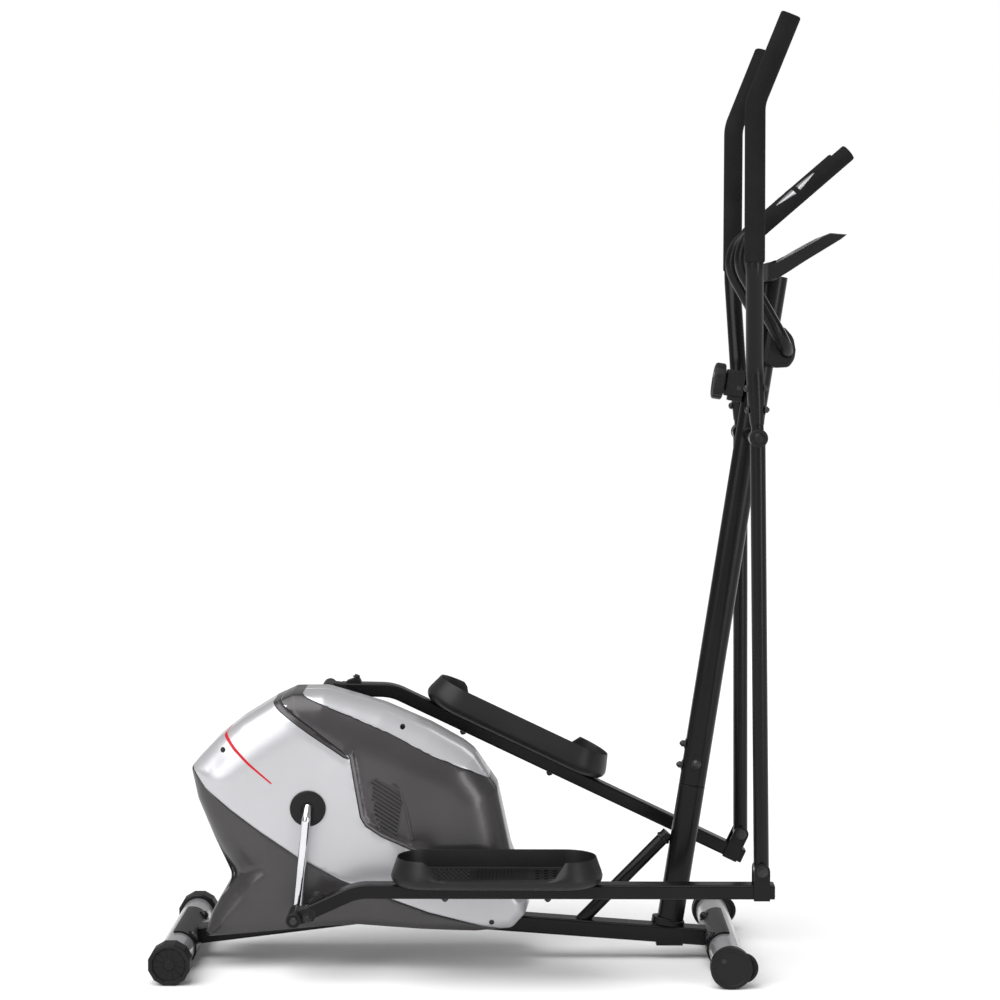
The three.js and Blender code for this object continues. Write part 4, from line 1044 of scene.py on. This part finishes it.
def side_height(p):
    gap = edge_distance(p)
    radius, depth = shoulder(p)
    u = max(0.0, 1 - gap / radius)
    drop = depth * (1 - math.sqrt(max(0.0, 1 - u ** 2.2)))
    crown = 1.5 * smooth_step(gap / 150)
    front = max(0.0, (p.x - FRONT_BEND_X) / FRONT_RUN)
    crown -= FRONT_BEND * min(1.4, front) ** 2
    return HALF - 1.5 - drop + crown + relief(p) * smooth_step(gap / 6)


def casing_net():
    """The side face's triangles, cut along every colour border."""
    points, edges = [], []

    def add_line(line, closed=False, step=9.0):
        first = len(points)
        line = [Vector(q) for q in line]
        pairs = list(zip(line, line[1:]))
        if closed:
            pairs.append((line[-1], line[0]))
        for a, b in pairs:
            count = max(1, round((b - a).length / step))
            points.extend(a.lerp(b, k / count) for k in range(count))
        if not closed:
            points.append(line[-1])
        last = len(points)
        edges.extend((i, i + 1) for i in range(first, last - 1))
        if closed:
            edges.append((last - 1, first))

    add_line(EDGE, True, 7)
    for line in (SPLIT_TOP, SPLIT_LOW):
        for shift in (-2.6, -1.1, 0, 1.1, 2.6):
            add_line(offset_line(line, shift), step=8)
    for shift in (0, 1.2, 3.0, 4.7, 6.4, 9.0):
        add_line(offset_line(BEAD, shift), step=7)
    for line in groove_lines():
        add_line(line, step=6)
    add_line(VENT, True, 6)
    add_line(STRIPE_SHAPE, True, 5)
    for sx, sz in SCREWS:
        for r in (SCREW_R, SCREW_R - 0.4):
            add_line([(sx + r * math.cos(a * math.pi / 8), sz + r * math.sin(a * math.pi / 8))
                      for a in range(16)], True, 9)
    x = -575.0
    while x < 25:
        z = 60.0
        while z < 505:
            p = Vector((x + (z // 9 % 2) * 4.5, z))
            if inside(p, EDGE) and edge_distance(p) > 27:
                points.append(p)
            z += 9
        x += 9
    for near in (2.0, 4.0, 6.6, 10.0, 14.0, 19.0, 24.5):
        for a, b in zip(EDGE, [*EDGE[1:], EDGE[0]]):
            along = (b - a).normalized()
            inward = Vector((along.y, -along.x)) * near
            count = max(1, round((b - a).length / 7))
            for k in range(count):
                q = a.lerp(b, k / count) + inward
                if inside(q, EDGE) and edge_distance(q) > near * 0.97:
                    points.append(q)
    verts, _, faces, *_ = geometry.delaunay_2d_cdt(points, edges, [], 0, 0.05)
    verts = [Vector(v) for v in verts]
    kept = []
    for f in faces:
        middle = sum((verts[i] for i in f), Vector((0, 0))) / len(f)
        a, b, c = (verts[i] for i in f[:3])
        sliver = abs((b - a).cross(c - a)) < 1.0 and edge_distance(middle) < 0.2
        if inside(middle, EDGE) and not sliver:
            kept.append((f, zone_of(middle)))
    return verts, kept


NET_POINTS, NET_FACES = casing_net()
NET_HEIGHTS = [side_height(p) for p in NET_POINTS]


# rows under the rim, as distance from the middle plane and inset: beside the floor beam and around the seam
OPEN_RIM = ((26.0, 0.0), (26.0, 3.0))
SEAM_RIM = ((1.2, 0.0), (0.35, 1.2))
WALL = 0.0028


def casing_half(hand, side):
    bm = bmesh.new()
    used = sorted({i for f, _ in NET_FACES for i in f})
    # the far shell has no screw by the ridge, so its pit is filled there
    ridge_screw = Vector(SCREWS[1])
    verts = {}
    for i in used:
        x, z = NET_POINTS[i]
        filled = side > 0 and (NET_POINTS[i] - ridge_screw).length < SCREW_R - 0.3
        verts[i] = bm.verts.new(mm(x, side * (NET_HEIGHTS[i] + (SCREW_DEPTH if filled else 0)), z))
    edge_zone = {}
    for f, zone in NET_FACES:
        face = bm.faces.new([verts[i] for i in f])
        middle = sum((NET_POINTS[i] for i in f), Vector((0, 0))) / len(f)
        face.material_index = SILVER_ZONE if side > 0 and (middle - ridge_screw).length < SCREW_R else zone
        for k in range(len(f)):
            edge_zone[f[k], f[(k + 1) % len(f)]] = zone
    rim = [(a, b, zone) for (a, b), zone in edge_zone.items() if (b, a) not in edge_zone]
    normal = {}
    for a, b, _ in rim:
        along = NET_POINTS[b] - NET_POINTS[a]
        outward = Vector((along.y, -along.x))
        for i in (a, b):
            normal[i] = normal.get(i, Vector((0, 0))) + outward.normalized()
    columns = {}
    for i, n in normal.items():
        n = n.normalized()
        p = NET_POINTS[i]
        low = p.y < 100 and (n.y < -0.3 or p.x < -500 or p.x > -20)
        levels = OPEN_RIM if low else SEAM_RIM
        columns[i] = [bm.verts.new(mm(p.x - n.x * d, side * y, p.y - n.y * d)) for y, d in levels]
    for a, b, zone in rim:
        previous = (verts[a], verts[b])
        for k in range(2):
            current = (columns[a][k], columns[b][k])
            face = bm.faces.new((previous[0], current[0], current[1], previous[1]))
            face.material_index = zone
            previous = current
    bmesh.ops.recalc_face_normals(bm, faces=bm.faces)
    middle = sum((f.normal.y * f.calc_area() for f in bm.faces), 0.0)
    if middle * side < 0:
        bmesh.ops.reverse_faces(bm, faces=bm.faces)
    bm.normal_update()
    for f in bm.faces:
        f.smooth = True
    for e in bm.edges:
        zones = {f.material_index for f in e.link_faces}
        e.smooth = e.calc_face_angle(0) < math.radians(34) and not (SEAM_SHADOW_ZONE in zones and len(zones) > 1)
    obj = mesh_object(f"casing_shell_{hand}", bm, ZONE_FINISHES)
    wall = obj.modifiers.new("wall", "SOLIDIFY")
    wall.thickness = WALL
    wall.offset = -1
    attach(obj, "frame")
    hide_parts(f"casing_{hand}")
    return obj


def surface_y(x, z):
    return side_height(Vector((x, z)))


LOUVRE_GAP, LOUVRE_STEP, LOUVRE_COUNT, LOUVRE_SLANT = 8.1, 3.4, 15, math.radians(-33)
# across a louvre or the near-black strip of painted shade in the gap under it, and out from the side face
LOUVRE_SECTION = ((-2.9, -0.6), (-2.6, 2.0), (-1.6, 2.5), (2.4, 0.3), (2.6, -0.6))
GAP_SHADE_SECTION = ((-3.1, -0.4), (-3.1, 0.25), (-4.7, 0.25), (-4.7, -0.4))


def strip(line, normal, side, section):
    """A bar along a short line on the side face."""
    rings = []
    for q in line:
        level = surface_y(q.x, q.y)
        ring = []
        for shift, lift in section:
            c = q + normal * shift
            ring.append(mm(c.x, side * (level + lift), c.y))
        rings.append(ring)
    return loft(rings)


def vent_shapes(side):
    """Slanted louvres with the raised edge in front of them, and near-black strips of painted shade in the
    gaps under the louvres.
    """
    along = Vector((math.cos(LOUVRE_SLANT), math.sin(LOUVRE_SLANT)))
    normal = Vector((-along.y, along.x))
    start = Vector((-252, 342))
    shapes, gaps = [], []
    for k in range(LOUVRE_COUNT):
        base = start - normal * (k * LOUVRE_GAP) + Vector((k * LOUVRE_STEP, 0))
        inner = []
        for s in range(0, 90, 2):
            q = base + along * (s - 25)
            if inside(q, VENT) and (q.x < -203 + (330 - q.y) * 0.16):
                inner.append(q)
        if len(inner) < 5:
            continue
        a, b = inner[0] + along * 2.5, inner[-1] - along * 2.5
        line = (a, a.lerp(b, 0.5), b)
        shapes.append(strip(line, normal, side, LOUVRE_SECTION))
        gaps.append(strip(line, normal, side, GAP_SHADE_SECTION))
    ridge = [(-222, 331), (-207, 321), (-202, 303), (-195, 280), (-190, 255), (-185, 231)]
    path = []
    for x, z in ridge:
        path.append(Vector((x, side * (surface_y(x, z) + 0.2), z)))
    shapes.append(swept(path, circle(2.4, 14), ends=1.5))
    return shapes, gaps


for hand, side in HANDS:
    casing_half(hand, side)
    louvres, gap_shade_strips = vent_shapes(side)
    # the near-black strips in the louvres' gaps are painted shade
    piece(f"vent_louvres_{hand}", "frame", DARK, louvres, [f"vent_panel_{hand}"],
          extra=[(SEAM_SHADOW, gap_shade_strips)])
    screws = []
    for x, z in SCREWS if side < 0 else (SCREWS[0], SCREWS[2]):
        seat = mm(x, side * (surface_y(x + 6, z) - SCREW_SEAT), z)
        screws.append(puck(seat, Y_AXIS * side, 3.6, 1.6, 0.5, 20))
    piece(f"casing_screws_{hand}", "frame", DARK_BOLT, screws)

# ------------------------------------------------------------------ static handlebar
BAR_R, BAR_Y = 12.7, 92
FIXED_GRIP_R, FIXED_GRIP_LENGTH = 14.8, 205
BAR_TIP, BAR_SHOULDER, BAR_FOOT = (568, 1429), (371, 1259), (472, 1084)
bar_corners = [Vector((x, -BAR_Y, z)) for x, z in (BAR_TIP, BAR_SHOULDER, BAR_FOOT)]
bar_corners += [Vector((x, BAR_Y, z)) for x, z in (BAR_FOOT, BAR_SHOULDER, BAR_TIP)]
bar_path = rounded(bar_corners, 58, 12)
piece("fixed_handlebar", "frame", BLACK, [swept(refined(bar_path, 30), circle(BAR_R, 32), ends=1)],
      ["static_handlebar"])
grip_dir = (bar_corners[0] - bar_corners[1]).normalized()
grip_up = Vector((-grip_dir.z, 0, grip_dir.x))
for hand, side in HANDS:
    y = side * BAR_Y
    tip = Vector((BAR_TIP[0], y, BAR_TIP[1]))
    path = refined([tip - grip_dir * FIXED_GRIP_LENGTH, tip + grip_dir * 4], 12)
    sleeve = piece(f"fixed_grip_{hand}", "frame", FOAM, [swept(path, circle(FIXED_GRIP_R, 36), ends=3.5)],
                   [f"static_grip_{hand}"], sharp=60)
    plates = []
    for start, end in ((104, 66), (113, 152)):
        rows = []
        for k in range(11):
            t = k / 10
            half_angle = math.radians(33) * (1 - t) ** 0.75 + 0.02
            away = start + (end - start) * t
            row = []
            for m in (*range(9), *reversed(range(9))):
                a = half_angle * (-1 + m / 4) + side * math.radians(36)
                radial = grip_up * math.cos(a) + Vector((0, 1, 0)) * math.sin(a)
                radius = 14.2 if len(row) > 8 else 15.0 if m in (0, 8) or k in (0, 10) else 15.5
                row.append(mm(*(tip - grip_dir * away + radial * radius)))
            rows.append(row)
        plates.append(loft(rows))
    piece(f"pulse_sensors_{hand}", "frame", SENSOR, plates, sharp=50)

cover = [(440, 1127), (466, 1131), (482, 1112), (486, 1090), (484, 1074), (474, 1060), (452, 1059),
         (430, 1068)]
cover_shape = slab(cover, -61, 61, flat_y(), 6, 4)
cover_screws = [puck(mm(485.2, y, 1082), (1, 0, 0.05), 4, 1.5, 0.4, 20) for y in (-30, 30)]
piece("clamp_cover", "frame", PLASTIC, [cover_shape], ["handlebar_clamp_cover"],
      extra=[(DARK_BOLT, cover_screws)])

# ------------------------------------------------------------------ console
SLOPE = math.atan2(55, 98)
FACE_MID = Vector((493, 0, 1265.5))
FACE_UP = Vector((-math.sin(SLOPE), 0, math.cos(SLOPE)))
FACE_ALONG = Vector((math.cos(SLOPE), 0, math.sin(SLOPE)))


def on_face(a, y, h):
    """A point on the console's sloping face: a up the slope, y across, h above it."""
    p = FACE_MID + FACE_ALONG * a + Vector((0, y, 0)) + FACE_UP * h
    return mm(*p)


wedge = [(430, 1241), (444, 1238.5), (542, 1293), (571, 1290.5), (560, 1282), (496, 1243), (470, 1226),
         (446, 1211), (430, 1209)]


CONSOLE_HALF = 98.0


def console_shell():
    """The housing narrows towards its corners, so its plan is rounded."""
    rings = []
    rows = [-1, -0.985, -0.95, -0.88, -0.7, -0.4, 0, 0.4, 0.7, 0.88, 0.95, 0.985, 1]
    middle = Vector((490, 1252))
    for t in rows:
        shrink = 1 - 0.06 * abs(t) ** 18 - 0.01 * abs(t) ** 3
        ring = []
        for x, z in wedge:
            q = middle + (Vector((x, z)) - middle) * shrink
            ring.append(mm(q.x, t * CONSOLE_HALF, q.y))
        rings.append(ring)
    return loft(rings)


shell = console_shell()
# a thin light-grey plate on the console face; its light edge is a painted highlight standing in for the
# bright line along the console's top edge
rim_highlight_strip = slab([(a - 2, b) for a, b in round_rect(100, 172, 18, 6)], 0.2, 1.3, on_face, 0.5)
lip = slab([(-53, -58), (-47, -58), (-47, 58), (-53, 58)], -0.5, 5.5, on_face, 1.5)
piece("console_body", "frame", PLASTIC, [shell, lip], ["console_housing"],
      sharp=34, extra=[(SENSOR, [rim_highlight_strip])])
window = slab([(a + 11, b) for a, b in round_rect(48, 102, 6, 5)], 1.0, 2.2, on_face, 0.5)
cells = []
for row in (0, 1):
    for col in (-1, 0, 1):
        outline = [(a + 2 + row * 19, b + col * 30) for a, b in round_rect(14, 26, 2, 3)]
        cells.append(slab(outline, 2.0, 2.45, on_face, 0))
piece("console_screen", "frame", SCREEN, [window], ["console_display"],
      extra=[(LCD, cells)])
key = slab(round_rect(15, 15, 7, 8), -1.5, 2.9, lambda a, y, h: on_face(a - 34, y, h), 1.0, 3)
piece("console_key", "button", RUBBER, [key], ["console_button"])
marks = [slab([(a - 34, b + y) for a, b in round_rect(7, 16, 3, 4)], 1.1, 1.7, on_face, 0)
         for y in (-34, 34)]
piece("console_marks", "frame", LABEL_GREY, marks)

# ------------------------------------------------------------------ tension control
TENSION_Z = 1024
REAR_FACE = POST_DEPTH / 2


def by_post(back, y, up):
    """A point beside the post: back from its axis, y across, up along it."""
    base = on_post(TENSION_Z, back)
    rise = Vector((math.sin(LEAN), 0, math.cos(LEAN)))
    p = base + rise * up
    return mm(p.x, y, p.z)


def box_point(y, up, back):
    return by_post(back, y, up)


box_outline = round_rect(38, 47, 7, 5)
housing = slab([(y, u + 1) for y, u in box_outline], REAR_FACE, REAR_FACE + 32, box_point, 1.6)
shelf = slab([(-13, -30), (13, -30), (14, -20), (-14, -20)], REAR_FACE, REAR_FACE + 25, box_point, 1.5)
groove_band = slab([(y * 1.03, u * 1.03 + 1) for y, u in box_outline], REAR_FACE + 15, REAR_FACE + 17.5,
                   box_point, 0.6)
housing_screws = []
for hand, side in HANDS:
    housing_screws.append(puck(by_post(REAR_FACE + 9, side * 18.6, -6), Y_AXIS * side, 4.2, 1.2, 0.4, 20))
piece("tension_box", "frame", PLASTIC, [housing, shelf, groove_band], ["tension_housing"],
      extra=[(DARK_BOLT, housing_screws)])
KNOB_BACK = REAR_FACE + 32.4
KNOB_LOBES, LOBE_DEPTH = 16, 1.1
knob_seat = by_post(KNOB_BACK, 0, 1)


def knob_shape():
    rings = []
    axis, side, up = across(backward)
    profile = [(15.5, 0, 0), (16, 0.6, 0), (16, 2.4, 0), (29.5, 3.0, 0), (31.8, 4.4, 0.3), (32.3, 6.5, 1),
               (32.3, 18, 1), (31.0, 20.8, 0.8), (27.8, 22.0, 0.3), (21, 22.2, 0), (19, 21.0, 0),
               (0, 20.8, 0)]
    for radius, height, grip in profile:
        middle = knob_seat + axis * (height / 1000)
        if radius == 0:
            rings.append([middle])
            continue
        ring = []
        for i in range(96):
            a = 2 * math.pi * i / 96
            lobe = LOBE_DEPTH * grip * (0.5 - 0.5 * math.cos(KNOB_LOBES * a))
            r = (radius - lobe) / 1000
            ring.append(middle + (side * math.cos(a) + up * math.sin(a)) * r)
        rings.append(ring)
    return loft(rings)


pointer = slab([(-1.2, 6), (1.2, 6), (1.2, 14.5), (-1.2, 14.5)], KNOB_BACK + 21.6, KNOB_BACK + 22.8,
               lambda y, u, b: by_post(b, y, u + 1), 0.3)
piece("tension_dial", "knob", PLASTIC, [knob_shape()], ["tension_knob"],
      extra=[(LABEL_GREY, [pointer])])

# ------------------------------------------------------------------ parts kept from the CAD frame
KEPT = {
    "axle_tower": BLACK, "flywheel_bracket": BLACK, "crank_axle": ZINC, "crank_bearing": ZINC,
    "flywheel_shaft": ZINC, "brake_arm": ZINC, "idler_arm": ZINC, "crank_pulley": PLASTIC,
    "idler_pulley": PLASTIC, "drive_belt": RUBBER, "flywheel": IRON,
}
for name, material in KEPT.items():
    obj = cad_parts[name]
    obj.data.materials.clear()
    obj.data.materials.append(material)

# ------------------------------------------------------------------ stage, light and camera
floor_material = shader("studio_floor", (0.93, 0.93, 0.93), 0.8, spec=0.1)
floor_mesh = bpy.data.meshes.new("studio")
spokes = [Vector((math.cos(math.pi * i / 48), math.sin(math.pi * i / 48), 0)) for i in range(96)]
floor_rings = [[spoke * r for spoke in spokes] for r in (1, 3, 9, 40)]
floor_points, floor_faces = loft([[Vector((0, 0, 0))], *floor_rings])
floor_mesh.from_pydata(floor_points, [], [f for f in floor_faces if len(f) < 5])
floor_mesh.materials.append(floor_material)
studio = bpy.data.objects.new("studio", floor_mesh)
bpy.context.scene.collection.objects.link(studio)

world = bpy.data.worlds.new("studio_light")
bpy.context.scene.world = world
world.use_nodes = True
world_tree = world.node_tree
world_tree.nodes["Background"].inputs["Color"].default_value = (1, 1, 1, 1)
light_path = world_tree.nodes.new("ShaderNodeLightPath")
world_level = world_tree.nodes.new("ShaderNodeMapRange")
world_level.inputs["To Min"].default_value = 0.36
world_level.inputs["To Max"].default_value = 1.0
world_tree.links.new(light_path.outputs["Is Camera Ray"], world_level.inputs["Value"])
world_tree.links.new(world_level.outputs["Result"], world_tree.nodes["Background"].inputs["Strength"])


def hang(name, light, place, towards):
    obj = bpy.data.objects.new(name, light)
    obj.location = place
    obj.rotation_mode = "QUATERNION"
    obj.rotation_quaternion = towards.to_track_quat("-Z", "Y")
    bpy.context.scene.collection.objects.link(obj)


def sun(name, towards, strength, spread):
    """A sun of wide angle that shines along a direction, soft as a big window."""
    light = bpy.data.lights.new(name, "SUN")
    light.energy = strength
    light.angle = math.radians(spread)
    hang(name, light, Vector((0, 0, 0)), Vector(towards))


def softbox(name, place, target, size, power):
    light = bpy.data.lights.new(name, "AREA")
    light.shape = "RECTANGLE"
    light.size, light.size_y = size
    light.energy = power
    hang(name, light, Vector(place), Vector(target) - Vector(place))


sun("key_sun", (0.42, 0.40, -1.0), 2.9, 62)
softbox("front_box", (-3.0, -4.6, 2.2), (-0.2, 0, 0.6), (2.0, 2.4), 45)
softbox("side_box", (3.0, -3.2, 1.3), (-0.1, 0, 0.4), (0.9, 2.4), 40)
softbox("rear_box", (2.6, 4.2, 2.6), (0.1, 0, 0.7), (2.4, 2.4), 25)
bpy.context.scene.view_settings.view_transform = "Standard"

camera_data = bpy.data.cameras.new("camera")
camera_data.lens = 87.084
camera_data.sensor_width = 36
camera_data.clip_end = 60
camera = bpy.data.objects.new("camera", camera_data)
right = Vector((0.999972, 0.007427, 0))
forward = Vector((-0.007413, 0.998106, -0.061068))
upward = Vector((-0.000454, 0.061066, 0.998134))
camera.matrix_world = Matrix((
    (right.x, upward.x, -forward.x, SHIFT),
    (right.y, upward.y, -forward.y, -4.3),
    (right.z, upward.z, -forward.z, 1.0868),
    (0, 0, 0, 1),
))
bpy.context.scene.collection.objects.link(camera)
bpy.context.scene.camera = camera
